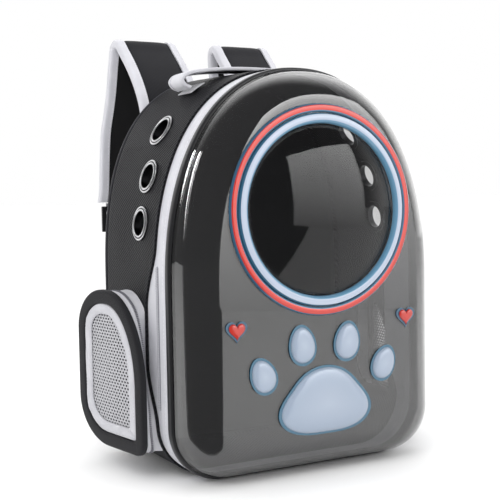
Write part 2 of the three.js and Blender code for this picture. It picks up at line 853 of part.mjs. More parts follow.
function addStrap(side, word) {
  const path = strapPath(side);
  const end = path[path.length - 1];
  const core = (share) => strapHalf(share) - strapBinding - 2 * seatGap;
  const edge = (share) => strapHalf(share) - strapBinding;
  const band = (from, to) => ribbon(path, axisX, from, to, strapThickness);
  addMesh(`strap_${word}`, band((share) => -core(share), core), materials.strapFabric);
  const negativeSide = band((share) => -strapHalf(share), (share) => -edge(share));
  addMesh(`strap_binding_${word}_1`, negativeSide, materials.whiteTape);
  addMesh(`strap_binding_${word}_2`, band(edge, strapHalf), materials.whiteTape);

  // Lock hangs below the strap's end; its two slots are for the tab above and the webbing below
  const lockTop = end.z - lockBar;
  const lockMiddle = lockTop - lockHeight / 2;
  const plate = new THREE.Shape();
  const halfWide = lockWidth / 2;
  const halfHigh = lockHeight / 2;
  plate.moveTo(-halfWide, -halfHigh);
  plate.lineTo(halfWide, -halfHigh);
  plate.lineTo(halfWide, halfHigh);
  plate.lineTo(-halfWide, halfHigh);
  plate.closePath();
  const slotHalf = webbingWidth / 2 + slotClearance;
  [halfHigh - lockBar - lockSlot, -halfHigh + lockBar].forEach((low) => {
    const slot = new THREE.Path();
    slot.moveTo(-slotHalf, low);
    slot.lineTo(-slotHalf, low + lockSlot);
    slot.lineTo(slotHalf, low + lockSlot);
    slot.lineTo(slotHalf, low);
    slot.closePath();
    plate.holes.push(slot);
  });
  const lock = new THREE.ExtrudeGeometry(plate, { depth: lockThickness, bevelEnabled: false });
  lock.translate(0, 0, -lockThickness / 2);
  lock.rotateX(Math.PI / 2);
  addMesh(`ladder_lock_${word}`, lock, materials.blackPlastic, {
    position: new THREE.Vector3(end.x, end.y, lockMiddle),
  });

  // A short tab holds the lock: both its legs rise to the strap's end
  const clear = seatGap + webbingThickness / 2;
  const offY = lockThickness / 2 + clear;
  const barLow = lockTop - lockBar;
  const legTop = end.z - tabLegGap;
  const tab = [[offY, legTop], ...turnRound(barLow, offY, 2 * clear, -1), [-offY, legTop]];
  const toPoints = (pairs) => pairs.map(([y, z]) => new THREE.Vector3(end.x, end.y + y, z));
  const halfWeb = webbingWidth / 2;
  const web = (points) => ribbon(points, axisX, -halfWeb, halfWeb, webbingThickness);
  addMesh(`strap_tab_${word}`, web(toPoints(tab)), materials.whiteTape);

  // Webbing: a free tail, a turn round the lock's lower bar, then down to its anchor on the back
  const barTop = lockTop - lockHeight + lockBar;
  const loop = turnRound(barTop, offY, 2 * clear, 1);
  const upper = toPoints([[offY, barTop - webbingTail], ...loop]);
  const anchorY = backY + seatGap + webbingThickness / 2;
  const low = upper[upper.length - 1];
  const anchor = new THREE.Vector3(side * anchorOut, anchorY, anchorHeight);
  const run = [0.04, 0.35, 0.7, 0.96].map((share) => low.clone().lerp(anchor, share));
  const foot = anchor.clone();
  foot.z -= anchorLength;
  addMesh(`strap_webbing_${word}`, web([...upper, ...run, anchor, foot]), materials.whiteTape);
}

// Half of the handle's route, from the middle out: shares of its half span and of its drop.
// It lies on the crown, runs out level, curls under and comes back to its tab.
const handleRoute = [
  { out: 0, drop: 0 },
  { out: 0.25, drop: 0.005 },
  { out: 0.5, drop: 0.05 },
  { out: 0.72, drop: 0.14 },
  { out: 0.88, drop: 0.25 },
  { out: 0.97, drop: 0.4 },
  { out: 1, drop: 0.6 },
  { out: 0.965, drop: 0.8 },
  { out: 0.9, drop: 0.9 },
];

function addHandle() {
  const y = handleBack;
  const rear = y + handleWidth / 2;
  const crown = skinHeightAt(rear, 0) + seatGap + handleThickness / 2;
  const halfSpan = handleSpan / 2;
  const half = handleRoute.map((row) => new THREE.Vector3(
    row.out * halfSpan,
    y,
    crown - row.drop * handleDrop,
  ));
  const mirrored = half.slice(1).reverse().map((p) => new THREE.Vector3(-p.x, p.y, p.z));
  const curve = new THREE.CatmullRomCurve3([...mirrored, ...half], false, 'centripetal');
  const path = curve.getSpacedPoints(handleSteps);
  const core = handleWidth / 2 - handleBinding - seatGap;
  const edge = handleWidth / 2 - handleBinding;
  const band = (from, to) => ribbon(path, axisY, from, to, handleThickness);
  addMesh('top_handle', band(-core, core), materials.strapFabric);
  addMesh('handle_binding_front', band(-handleWidth / 2, -edge), materials.whiteTape);
  addMesh('handle_binding_back', band(edge, handleWidth / 2), materials.whiteTape);

  // Tabs sewn flat to the case, where the handle's ends come back under
  [[-1, 'left'], [1, 'right']].forEach(([side, word]) => {
    const points = [];
    for (let i = 0; i <= tabSteps; i += 1) {
      const x = halfSpan - tabUnder - tabLength * (1 - i / tabSteps);
      const z = skinHeightAt(rear, x) + 2 * seatGap + tabThickness / 2;
      points.push(new THREE.Vector3(side * x, y, z));
    }
    addMesh(`handle_tab_${word}`, ribbon(points, axisY, -handleWidth / 2, handleWidth / 2, tabThickness),
      materials.whiteTape);
  });
}

addCase();
addCaseBack();
addBackPiping();
addBackPad();
addZip();
addSlider();
addRimPiping();
addClearShell();
addWindow();
addPaw();
addEyelets();
[[-1, 'left'], [1, 'right']].forEach(([side, word]) => {
  addPocket(side, word);
  addStrap(side, word);
});
addHandle();

export default bag;
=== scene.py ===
"""Bubble pet carrier backpack: the finish of every surface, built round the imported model.

Sizes and places are in millimetres, and meshes are written in metres.
The window faces -Y, the wearer's back +Y, and +Z is up, with the origin in the middle of the flat base.
"""

import bmesh
import bpy
import numpy as np
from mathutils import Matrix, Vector


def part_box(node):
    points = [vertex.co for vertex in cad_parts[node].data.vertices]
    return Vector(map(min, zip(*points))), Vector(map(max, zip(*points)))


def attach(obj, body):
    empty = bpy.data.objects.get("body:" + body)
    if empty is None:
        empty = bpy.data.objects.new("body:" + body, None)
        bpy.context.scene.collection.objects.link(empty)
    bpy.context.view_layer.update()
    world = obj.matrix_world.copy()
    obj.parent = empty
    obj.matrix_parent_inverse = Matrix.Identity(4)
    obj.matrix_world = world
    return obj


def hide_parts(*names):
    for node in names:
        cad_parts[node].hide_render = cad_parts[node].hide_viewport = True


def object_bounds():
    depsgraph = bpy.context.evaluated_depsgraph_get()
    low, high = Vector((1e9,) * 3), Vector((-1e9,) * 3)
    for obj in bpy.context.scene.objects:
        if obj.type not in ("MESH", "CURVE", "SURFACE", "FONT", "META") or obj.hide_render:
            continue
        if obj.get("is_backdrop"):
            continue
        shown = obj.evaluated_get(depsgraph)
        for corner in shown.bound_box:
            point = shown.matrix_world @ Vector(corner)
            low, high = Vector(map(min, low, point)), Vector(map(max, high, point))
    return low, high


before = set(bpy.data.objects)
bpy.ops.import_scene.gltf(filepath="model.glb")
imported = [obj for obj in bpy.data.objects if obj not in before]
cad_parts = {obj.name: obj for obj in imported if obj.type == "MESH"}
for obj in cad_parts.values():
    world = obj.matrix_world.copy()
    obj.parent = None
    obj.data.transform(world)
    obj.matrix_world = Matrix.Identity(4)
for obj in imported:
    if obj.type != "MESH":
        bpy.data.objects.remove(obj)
cad_low, cad_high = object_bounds()

MM = 0.001
SIDES = ((-1, "left"), (1, "right"))

# Overall form of the bag, seen from the front
FRONT_WIDTH, BACK_WIDTH = 298, 300
FRONT_HEIGHT, BACK_HEIGHT = 408, 412
CORNER_RADIUS = 56
SHOULDER = 191
FRONT_ARCH, BACK_ARCH = 2.2, 2.55
CASE_DEPTH = 155
RIM_Y, BACK_Y = -CASE_DEPTH / 2, CASE_DEPTH / 2
GAP = 0.3

# Case and its rear piping
CASE_WALL = 2
CASE_MIDDLE = np.array([0, 0, BACK_HEIGHT / 2])
BACK_EDGE = 12
# The panels meet at this turn round the rear edge, each half a gap short of it, in degrees
BACK_SEAM, SEAM_GAP = 45, np.degrees(GAP / BACK_EDGE / 2)
PIPING_RADIUS = 1.8

# Zip tape, its open stretch, and the strip in front of it
TAPE_WIDTH, TAPE_TUCK, TAPE_THICKNESS = 20, 6.5, 1.2
OPEN_TAPE, OPEN_LOW, OPEN_HIGH, OPEN_RAMP = 22, 50, 232, 62
TAPE_INSET = CASE_WALL + GAP
LIP_MIN = TAPE_WIDTH + GAP
TOOTH_PITCH = 1.6
COIL_RIDGE, COIL_IN, HEM_RIDGE, HEM_IN, HEM_SEAM = 0.55, 13, 0.25, 4, 5.6
STRIP_WIDTH, STRIP_THICKNESS, STRIP_INSET = 10, 3, 1

# Clear front with its window and rings
SHELL_DEPTH, SHELL_THICKNESS, SHELL_EDGE = 52, 2, 33.7
SHELL_INSET = STRIP_INSET + STRIP_THICKNESS + GAP
SHELL_Y = RIM_Y - SHELL_DEPTH
SEAT_Y = SHELL_Y - GAP
STEP_Y, STEP_DEPTH = -91, 0.9
WINDOW_Z, WINDOW_RADIUS = 264, 84
DOME_RISE, DOME_THICKNESS = 18, 2
RING_WIDTH, RING_RISE = 10.5, 5
BAND_WIDTH, BAND_RISE = 9, 3

# Raised paw and hearts
PAW_Z = 74
PAD_WIDTH, PAD_HEIGHT, PAD_RISE, PAD_LOBE = 104, 68, 6, 0.1
TOE_RISE, TOE_POINT = 5, 0.12
HEART_WIDTH, HEART_RISE, HEART_OUT, HEART_Z = 23, 3.5, 98, 153
PAINTED_EDGE = 2.3

# Eyelets
EYELET_TOP, EYELET_PITCH, EYELET_BACK, TOP_EYELET_BACK = 347, 47, -18, 11
EYELET_HOLE, EYELET_BARREL, EYELET_RIM = 12.5, 14.1, 17.2
EYELET_CUT = 15.6

# Side pockets
POCKET_FRONT, POCKET_LENGTH, POCKET_LOW, POCKET_TALL = 15, 122, 26, 160
POCKET_FRONT_RISE, POCKET_BACK_RISE = 17, 38
FACE_THICKNESS, FACE_BAND = 5, 14
FRAME_WIDTH = 10.5
GUSSET_INSET, GUSSET_WALL = 1.6, 2.2
VENT_INSET = 30
NET_PITCH_Y, NET_PITCH_Z = 5.2, 3.2
NET_HOLE_Y, NET_HOLE_Z = 1.75, 1.15
LEAST_CORNER = 5

# Shoulder straps and their webbing
STRAP_SPACING, STRAP_WIDTH, STRAP_END_WIDTH = 124, 75, 46
STRAP_THICKNESS, STRAP_BINDING = 10, 9.5
STRAP_RISE, STRAP_REACH, STRAP_SPLAY, STRAP_TAPER = 53, 88, 37, 0.72
WEBBING_WIDTH, WEBBING_THICKNESS, WEBBING_TAIL = 25, 1.5, 42
LOCK_BAR, TAB_LEG_GAP = 5, 1.25
ANCHOR_OUT, ANCHOR_HEIGHT, ANCHOR_LENGTH = 125, 58, 24

# Top handle
HANDLE_SPAN, HANDLE_WIDTH, HANDLE_THICKNESS, HANDLE_BINDING, HANDLE_DROP = 190, 34, 4, 5, 24
HANDLE_WHITE_FROM = 64
TAB_UNDER, TAB_LENGTH, TAB_THICKNESS = 9.5, 15, 1.2


# Helpers for shapes


def mix(a, b, share):
    return a + (b - a) * share


def smooth(low, high, value):
    """0 below low, 1 above high, and between them the share squared times three less twice the share."""
    share = np.clip((np.asarray(value, float) - low) / (high - low), 0, 1)
    return share * share * (3 - 2 * share)


def unit(vectors):
    return vectors / np.maximum(np.linalg.norm(vectors, axis=-1, keepdims=True), 1e-12)


def node_box(name):
    low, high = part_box(name)
    return np.array(low) / MM, np.array(high) / MM


def outline_columns(base, corner, side, arch):
    """Columns round the bag: the stretch that each is on, its share along that stretch, and its side."""
    counts = (base, corner, side, arch)
    stretch = np.append(np.repeat(np.arange(4), counts), 3)
    share = np.append(np.concatenate([np.arange(n) / n for n in counts]), 1.0)
    back = slice(-2, 0, -1)
    sign = np.concatenate([np.ones(len(share)), -np.ones(len(share) - 2)])
    return np.append(stretch, stretch[back]), np.append(share, share[back]), sign


COLUMNS = outline_columns(12, 18, 40, 100)


def ring(y, inset=0.0):
    """Rings round the bag at depth y, moved in along the outline's normal by inset.

    Flat base, quarter circle, straight side, then an arch: x = half * cos(t)^(2/k) and
    z = shoulder + rise * sin(t)^(2/k), whose half, rise and k change evenly from zip to back.
    """
    stretch, share, sign = COLUMNS
    y = np.atleast_2d(y) + np.zeros(len(share))
    half, rise, k = section_at(y)
    turn = share * np.pi / 2
    across = np.cos(turn).clip(0) ** (2 / k)
    up = np.sin(turn).clip(0) ** (2 / k)
    flat = half - CORNER_RADIUS
    which = [stretch == 0, stretch == 1, stretch == 2]
    x = np.select(which, [flat * share, flat + CORNER_RADIUS * np.sin(turn), half], half * across)
    low_z = [0 * y, CORNER_RADIUS * (1 - np.cos(turn)) + 0 * y, mix(CORNER_RADIUS, SHOULDER, share) + 0 * y]
    z = np.select(which, low_z, SHOULDER + rise * up)
    normal_x = np.select(which, [0 * y, np.sin(turn) + 0 * y, 0 * y + 1], across ** (k - 1) / half)
    normal_z = np.select(which, [0 * y - 1, -np.cos(turn) + 0 * y, 0 * y], up ** (k - 1) / rise)
    length = np.hypot(normal_x, normal_z)
    x = sign * (x - inset * normal_x / length)
    return np.stack([x, y, z - inset * normal_z / length], -1)


def section_at(y):
    """Half width, height over the shoulder and arch power of the bag at depth y."""
    depth = np.clip((np.asarray(y, float) - RIM_Y) / CASE_DEPTH, 0, 1)
    half = mix(FRONT_WIDTH, BACK_WIDTH, depth) / 2
    return half, mix(FRONT_HEIGHT, BACK_HEIGHT, depth) - SHOULDER, mix(FRONT_ARCH, BACK_ARCH, depth)


def half_width(y, z):
    """Half width of the bag's skin at depth y and height z: the outline's x, solved for z."""
    half, rise, k = section_at(y)
    drop = np.clip((CORNER_RADIUS - z) / CORNER_RADIUS, 0, 1)
    low = half - CORNER_RADIUS + CORNER_RADIUS * np.sqrt(1 - drop**2)
    up = np.clip((z - SHOULDER) / rise, 0, 1)
    return np.where(z < CORNER_RADIUS, low, half * (1 - up**k) ** (1 / k))


def skin_height(y, x):
    """Height of the bag's skin at depth y and distance x from the middle: the arch, solved for x."""
    half, rise, k = section_at(y)
    out = np.clip(np.abs(x) / half, 0, 1)
    return SHOULDER + rise * (1 - out**k) ** (1 / k)


def lip_extra(z):
    """How far the case's front edge draws back along the open stretch of the zip."""
    opened = smooth(OPEN_LOW, OPEN_LOW + OPEN_RAMP, z)
    closed = smooth(OPEN_HIGH - OPEN_RAMP, OPEN_HIGH, z)
    return OPEN_TAPE * opened * (1 - closed)


def through(points, count):
    """Curve through points at equal steps of length: centripetal Catmull-Rom.

    Each span is a cubic, and a point's slope weighs the chords beside it by the square root of their
    lengths. The missing neighbours at the ends mirror the points beside them.
    """
    points = np.asarray(points, float)
    p = np.vstack([2 * points[0] - points[1], points, 2 * points[-1] - points[-2]])
    gap = np.sqrt(np.linalg.norm(np.diff(p, axis=0), axis=1))[:, None]
    before, here, after = gap[:-2], gap[1:-1], gap[2:]
    a, b, c, d = p[:-3], p[1:-2], p[2:-1], p[3:]
    slope_b = ((b - a) / before - (c - a) / (before + here) + (c - b) / here) * here
    slope_c = ((c - b) / here - (d - b) / (here + after) + (d - c) / after) * here
    t = np.linspace(0, 1, 40, endpoint=False)[None, :, None]
    b, c, slope_b, slope_c = (v[:, None] for v in (b, c, slope_b, slope_c))
    cubic = (2 * t**3 - 3 * t**2 + 1) * b + (t**3 - 2 * t**2 + t) * slope_b
    cubic = cubic + (3 * t**2 - 2 * t**3) * c + (t**3 - t**2) * slope_c
    return even_steps(np.vstack([cubic.reshape(-1, 3), points[-1:]]), count)


def even_steps(path, count):
    """Points at equal steps along a path of straight pieces."""
    length = np.append(0, np.cumsum(np.linalg.norm(np.diff(path, axis=0), axis=1)))
    at = np.linspace(0, length[-1], count)
    return np.stack([np.interp(at, length, path[:, i]) for i in range(3)], -1)


def path_length(path):
    return np.linalg.norm(np.diff(path, axis=0), axis=1).sum()


def sweep(path, across, profile):
    """A profile carried along a path: its first number lies along across, its second square to both."""
    across = np.asarray(across, float) + np.zeros(path.shape)
    up = unit(np.cross(across, np.gradient(path, axis=0)))
    profile = np.asarray(profile, float)
    return path[:, None] + profile[..., :1] * across[:, None] + profile[..., 1:] * up[:, None]


def within(points, outline):
    """True where a flat point lies inside a closed outline: a ray from it crosses an odd number of sides."""
    a, b = outline, np.roll(outline, -1, axis=0)
    y, z = points[..., None, 0], points[..., None, 1]
    crossed = (a[:, 1] > z) != (b[:, 1] > z)
    step = np.where(b[:, 1] == a[:, 1], 1, b[:, 1] - a[:, 1])
    at = a[:, 0] + (z - a[:, 1]) * (b[:, 0] - a[:, 0]) / step
    return (crossed & (y < at)).sum(-1) % 2 == 1


def power(values, exponent):
    """Power of the size of each value, with the value's own sign."""
    return np.sign(values) * np.abs(values) ** exponent


def oval_section(count, ends, faces=0.5):
    """Oval of half size 1 as its two coordinates: the lower a power, the squarer that way."""
    turn = np.linspace(0, 2 * np.pi, count, endpoint=False)
    return power(np.cos(turn), ends), power(np.sin(turn), faces)


# Helpers for meshes

# How a grid of points closes: as a hoop both ways, or as a tube with both ends shut
HOOP = {"round_rows": True, "round_columns": True}
TUBE = {"round_columns": True, "caps": (0, -1)}


def piece(name, points, faces, skin, slot, nodes=(), corners=None, marks=None, inside=None, wall=0.0,
          crease=40):
    """Mesh object of points in mm and arrays of faces, turned so that its faces look away from inside.

    wall thickens it inward, and crease is the angle in degrees past which an edge stays sharp.
    """
    points = np.asarray(points, float).reshape(-1, 3)
    inside = points.mean(0) if inside is None else np.asarray(inside, float)
    outward = 0.0
    for group in faces:
        p = points[group]
        start = 1 if group.shape[1] == 4 else 0
        outward += (np.cross(p[:, 2] - p[:, 0], p[:, -1] - p[:, start]) * (p.mean(1) - inside)).sum()
    if outward < 0:
        faces = [group[:, ::-1] for group in faces]
        corners = None if corners is None else [group[:, ::-1] for group in corners]
    mesh = bpy.data.meshes.new(name)
    mesh.vertices.add(len(points))
    mesh.vertices.foreach_set("co", (points * MM).ravel())
    loops = np.concatenate([group.ravel() for group in faces])
    sizes = np.concatenate([np.full(len(group), group.shape[1]) for group in faces])
    mesh.loops.add(len(loops))
    mesh.loops.foreach_set("vertex_index", loops)
    mesh.polygons.add(len(sizes))
    mesh.polygons.foreach_set("loop_start", np.cumsum(sizes) - sizes)
    mesh.update(calc_edges=True)
    mesh.polygons.foreach_set("use_smooth", np.ones(len(sizes), bool))
    if corners is not None:
        flat = np.concatenate([group.reshape(-1, 2) for group in corners])
        mesh.uv_layers.new(name="UVMap").data.foreach_set("uv", (flat * MM).ravel())
    for mark, values in (marks or {}).items():
        layer = mesh.attributes.new(mark, "FLOAT", "POINT")
        layer.data.foreach_set("value", np.asarray(values, float).ravel())
    mesh.validate()
    mesh.set_sharp_from_angle(angle=np.radians(crease))
    mesh.materials.append(skin)
    return place(in_scene(name, mesh), nodes, wall)


def in_scene(name, data):
    obj = bpy.data.objects.new(name, data)
    bpy.context.scene.collection.objects.link(obj)
    return obj


def place(obj, nodes=(), wall=0.0):
    """Puts a piece on the one body, the nodes it stands for and its wall."""
    if wall:
        thicken = obj.modifiers.new("wall", "SOLIDIFY")
        thicken.thickness = wall * MM
        thicken.offset = -1
    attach(obj, "root")
    if nodes:
        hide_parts(*nodes)
    return obj


def surface(name, points, skin, slot, nodes=(), round_rows=False, round_columns=False, caps=(), keep=None,
            marks=None, plane=None, **more):
    """Piece made of a grid of points (rows, columns, 3), with its UV in real lengths along both ways.

    caps closes the first (0) or last (-1) row by a fan, and keep picks the faces that stay. plane names two
    of x, y and z that the UV takes instead.
    """
    rows, columns = points.shape[:2]
    index = np.arange(rows * columns).reshape(rows, columns)
    index = np.hstack([index, index[:, :1]]) if round_columns else index
    index = np.vstack([index, index[:1]]) if round_rows else index
    flat = points.reshape(-1, 3)
    at = flat[index]
    u = np.cumsum(np.linalg.norm(np.diff(at, axis=1, prepend=at[:, :1]), axis=-1), axis=1)
    v = np.cumsum(np.linalg.norm(np.diff(at, axis=0, prepend=at[:1]), axis=-1), axis=0)
    uv = np.stack([u - u[:, -1:] / 2, v], -1) if plane is None else at[..., plane]
    around = lambda grid: np.stack([grid[:-1, :-1], grid[:-1, 1:], grid[1:, 1:], grid[1:, :-1]], 2)
    quads, quad_uv = around(index), around(uv)
    keep = np.ones(quads.shape[:2], bool) if keep is None else keep
    faces, corners = [quads[keep]], [quad_uv[keep]]
    marks = {mark: np.reshape(values, (rows, columns)) for mark, values in (marks or {}).items()}
    marks = {mark: np.append(grid, [grid[row].mean() for row in caps]) for mark, grid in marks.items()}
    for row in caps:
        edge, middle = index[row], len(flat)
        flat = np.vstack([flat, flat[edge[:-1]].mean(0)])
        fan = np.stack([np.full(len(edge) - 1, middle), edge[:-1], edge[1:]], 1)
        fan_uv = np.stack([np.broadcast_to(uv[row].mean(0), uv[row][1:].shape), uv[row][:-1], uv[row][1:]], 1)
        faces.append(fan[:, ::-1] if row == 0 else fan)
        corners.append(fan_uv[:, ::-1] if row == 0 else fan_uv)
    return piece(name, flat, faces, skin, slot, nodes, corners, marks, **more)


def copies(form, places, axes):
    """Joined copies of a small form: each point is turned by its copy's three axes and moved to its place."""
    points, faces = form
    moved = np.einsum("pk,nkj->npj", points, axes) + places[:, None]
    step = (np.arange(len(places)) * len(points))[:, None, None]
    return moved.reshape(-1, 3), [(group[None] + step).reshape(-1, group.shape[1]) for group in faces]


def tooth(length, width, height):
    """Block with a smaller top: length along the row, width across it, height off the tape."""
    corner = np.array([(-1, -1), (1, -1), (1, 1), (-1, 1)]) / 2
    low = np.column_stack([corner * (length, width), np.full(4, -height / 2)])
    high = np.column_stack([corner * (length * 0.6, width * 0.8), np.full(4, height / 2)])
    quads = [(0, 3, 2, 1), (4, 5, 6, 7), (0, 1, 5, 4), (1, 2, 6, 5), (2, 3, 7, 6), (3, 0, 4, 7)]
    return np.vstack([low, high]), [np.array(quads)]


def stitch(length, radius):
    """Short thread: an ellipse-shaped grain with five sides and pointed ends."""
    turn = np.arange(5) * 2 * np.pi / 5
    bend = np.array([-0.75, 0, 0.75])
    size = radius * np.sqrt(1 - bend**2)[:, None]
    along = np.broadcast_to(bend[:, None] * length / 2, (3, 5))
    body = np.stack([along, size * np.cos(turn), size * np.sin(turn)], -1).reshape(-1, 3)
    points = np.vstack([body, [(-length / 2, 0, 0), (length / 2, 0, 0)]])
    i = np.arange(5)
    j = (i + 1) % 5
    quads = np.vstack([np.stack([i + r, i + r + 5, j + r + 5, j + r], 1) for r in (0, 5)])
    ends = np.vstack([np.stack([j * 0 + 15, i, j], 1), np.stack([j * 0 + 16, j + 10, i + 10], 1)])
    return points, [quads, ends]


def along_path(path, up, pitch):
    """Places at a pitch along a path, with axes along it, across it and up from it."""
    count = max(2, int(path_length(path) / pitch))
    spots = even_steps(path, count)
    lifted = even_steps(path + unit(np.asarray(up, float) + np.zeros(path.shape)), count)
    forward = unit(np.gradient(spots, axis=0))
    away = unit(lifted - spots)
    side = unit(np.cross(away, forward))
    return spots, np.stack([forward, side, np.cross(forward, side)], 1)


def stitches(name, rows, skin, slot, pitch=4.0, length=3.0, radius=0.32):
    """Rows of sewing thread, each a path with its upward direction, joined in one piece."""
    made = [copies(stitch(length, radius), *along_path(path, up, pitch)) for path, up in rows]
    return joined(name, made, skin, slot)


def joined(name, made, skin, slot, nodes=()):
    """One piece made of several forms, each with the same kinds of faces."""
    starts = np.cumsum([0] + [len(points) for points, _ in made])
    points = np.vstack([points for points, _ in made])
    kinds = range(len(made[0][1]))
    faces = [np.vstack([groups[i] + start for (_, groups), start in zip(made, starts)]) for i in kinds]
    return piece(name, points, faces, skin, slot, nodes, crease=60)


# Sewing thread round small seams: its pitch, length and radius
SMALL_STITCH = {"pitch": 3.2, "length": 2.3, "radius": 0.25}
TAPE_STITCH = {"pitch": 2.4, "length": 1.8, "radius": 0.26}
STRIP_STITCH = {"pitch": 3.4, "length": 2.4}
PAD_STITCH = {"pitch": 4.4, "length": 3.2, "radius": 0.35}


# Materials


def linear(text):
    """An sRGB hex colour as linear red, green, blue and alpha."""
    value = np.array([int(text[i : i + 2], 16) for i in (1, 3, 5)]) / 255
    value = np.where(value <= 0.04045, value / 12.92, ((value + 0.055) / 1.055) ** 2.4)
    return (*value.tolist(), 1.0)


def add(tree, kind, inputs=None, **settings):
    """Adds a node: settings are its own values, and each input takes a number, a colour or a socket."""
    node = tree.nodes.new(kind)
    for name, value in settings.items():
        setattr(node, name, value)
    for name, value in (inputs or {}).items():
        if isinstance(value, bpy.types.NodeSocket):
            tree.links.new(value, node.inputs[name])
        else:
            node.inputs[name].default_value = value
    return node


def maths(tree, operation, *values):
    return add(tree, "ShaderNodeMath", dict(enumerate(values)), operation=operation).outputs[0]


def whereabouts(tree, space):
    """Texture coordinate: UV runs in real lengths along a piece, Object is its place in metres."""
    return add(tree, "ShaderNodeTexCoord").outputs[space]


def spread(tree, value, source=(0.0, 1.0), target=(0.0, 1.0), curve="LINEAR"):
    """Carries a value from a source range to a target range."""
    names = ("From Min", "From Max", "To Min", "To Max")
    inputs = {"Value": value, **dict(zip(names, (*source, *target)))}
    return add(tree, "ShaderNodeMapRange", inputs, interpolation_type=curve).outputs[0]


def blend(tree, share, first, second):
    """Mix of two colours, each of them a hex text or a socket."""
    first, second = (linear(colour) if isinstance(colour, str) else colour for colour in (first, second))
    return add(tree, "ShaderNodeMix", {0: share, 6: first, 7: second}, data_type="RGBA").outputs[2]


def noise(tree, vector, scale, detail):
    inputs = {"Vector": vector, "Scale": scale, "Detail": detail}
    return add(tree, "ShaderNodeTexNoise", inputs).outputs["Fac"]


# Wave Texture: one band is 2 pi / 20 wide at a scale of 1
WAVE_UNIT = 2 * np.pi / 20


def bands(tree, vector, pitch, direction="X", distortion=0.0, detail_scale=1.0):
    """Threads or ribs drawn as bands at a pitch in mm."""
    inputs = {"Vector": vector, "Scale": WAVE_UNIT / (pitch * MM), "Distortion": distortion, "Detail": 1.0,
              "Detail Scale": detail_scale}
    return add(tree, "ShaderNodeTexWave", inputs, bands_direction=direction).outputs["Fac"]


def finish(name, **sockets):
    """A new material with one Principled shader, whose sockets are given with _ for each space."""
    material = bpy.data.materials.new(name)
    material.use_nodes = True
    shader = material.node_tree.nodes["Principled BSDF"]
    for socket, value in sockets.items():
        shader.inputs[socket.replace("_", " ")].default_value = value
    return material, material.node_tree


def wire(tree, height, strength, depth, **sockets):
    """Links colour or alpha to the shader, and a bump of a height that is depth mm deep."""
    bump = add(tree, "ShaderNodeBump", {"Height": height, "Strength": strength, "Distance": depth * MM})
    for name, socket in (*sockets.items(), ("Normal", bump.outputs[0])):
        tree.links.new(socket, tree.nodes["Principled BSDF"].inputs[name.replace("_", " ")])


def woven(name, dark, light, pitch, depth, rough, turn=45.0, cloud=0.5, **sockets):
    """Woven cloth: threads drawn as bands at a pitch in mm, turned in degrees, crossed by finer ones.

    A slow noise of about 60 mm makes it a little uneven, as coated cloth is.
    """
    material, tree = finish(name, Roughness=rough, **sockets)
    uv = whereabouts(tree, "UV")
    turned = add(tree, "ShaderNodeMapping", {"Vector": uv, "Rotation": (0, 0, np.radians(turn))}).outputs[0]
    twill = bands(tree, turned, pitch, "X", 0.6, 2.0)
    cross = bands(tree, uv, pitch * 0.55, "Y")
    height = maths(tree, "MULTIPLY_ADD", cross, 0.3, twill)
    share = maths(tree, "MULTIPLY_ADD", noise(tree, uv, 16.0, 3.0), cloud, twill)
    share = spread(tree, share, (0.0, 1.0 + cloud))
    wire(tree, height, 0.6, depth, Base_Color=blend(tree, share, dark, light))
    return material


def taped(name, pale, shade, rib, depth, direction):
    """Polyester grosgrain tape: ribs across it at a pitch in mm, with painted shade in the low parts of its
    slow waves.
    """
    material, tree = finish(name, Roughness=0.62, Sheen_Weight=0.15)
    uv = whereabouts(tree, "UV")
    ribs = bands(tree, uv, rib, direction, 0.3)
    waves = noise(tree, uv, 45.0, 4.0)
    # Painted shade: the colour darkens with the same noise that lowers the bump, so the low parts of the
    # waves are darker
    share = maths(tree, "MULTIPLY_ADD", waves, 1.2, -0.2)
    height = maths(tree, "MULTIPLY_ADD", ribs, 0.5, waves)
    wire(tree, height, 0.5, depth, Base_Color=blend(tree, share, shade, pale))
    return material


def painted(name, middle, shade, line, inner_line, low, high):
    """Glossy enamel paint on moulded plastic: the mark across runs 0 to 1 over the relief.

    Below low it has the inner line's colour, above high the outline's, and its middle shades softly.
    """
    material, tree = finish(name, Roughness=0.22, Coat_Weight=0.8, Coat_Roughness=0.05)
    across = add(tree, "ShaderNodeAttribute", attribute_name="across").outputs["Fac"]
    body = blend(tree, spread(tree, across, (low, high), curve="SMOOTHSTEP"), middle, shade)
    outlined = blend(tree, maths(tree, "GREATER_THAN", across, high), body, line)
    colour = blend(tree, maths(tree, "LESS_THAN", across, low), outlined, inner_line)
    grain = add(tree, "ShaderNodeTexNoise", {"Scale": 260.0, "Detail": 2.0}).outputs["Fac"]
    wire(tree, grain, 0.08, 0.2, Base_Color=colour)
    return material


def clear_plastic(name, smoke, square_on, edge_on, gloss):
    """Polycarbonate, vacuum formed: see-through and glossy, and less clear where it is seen edge on."""
    material, tree = finish(name, Roughness=0.04, IOR=1.58, Coat_Weight=gloss, Coat_IOR=1.9,
                            Coat_Roughness=0.02, Specular_IOR_Level=gloss, Base_Color=linear(smoke))
    slant = add(tree, "ShaderNodeLayerWeight", {"Blend": 0.35}).outputs["Facing"]
    ripple = noise(tree, whereabouts(tree, "Object"), 7.0, 0.0)
    wire(tree, ripple, 0.08, 3, Alpha=spread(tree, slant, target=(square_on, edge_on)))
    return material


def moulded(name, colour, rough, grain, depth, **sockets):
    """Moulded or plated part: one colour and a fine grain at a size in mm."""
    material, tree = finish(name, Roughness=rough, **sockets)
    speck = noise(tree, whereabouts(tree, "Object"), 1 / (grain * MM), 3.0)
    tint = spread(tree, speck, target=(0.82, 1.18))
    shade = add(tree, "ShaderNodeHueSaturation", {"Color": linear(colour), "Value": tint}).outputs[0]
    wire(tree, speck, 0.3, depth, Base_Color=shade)
    return material


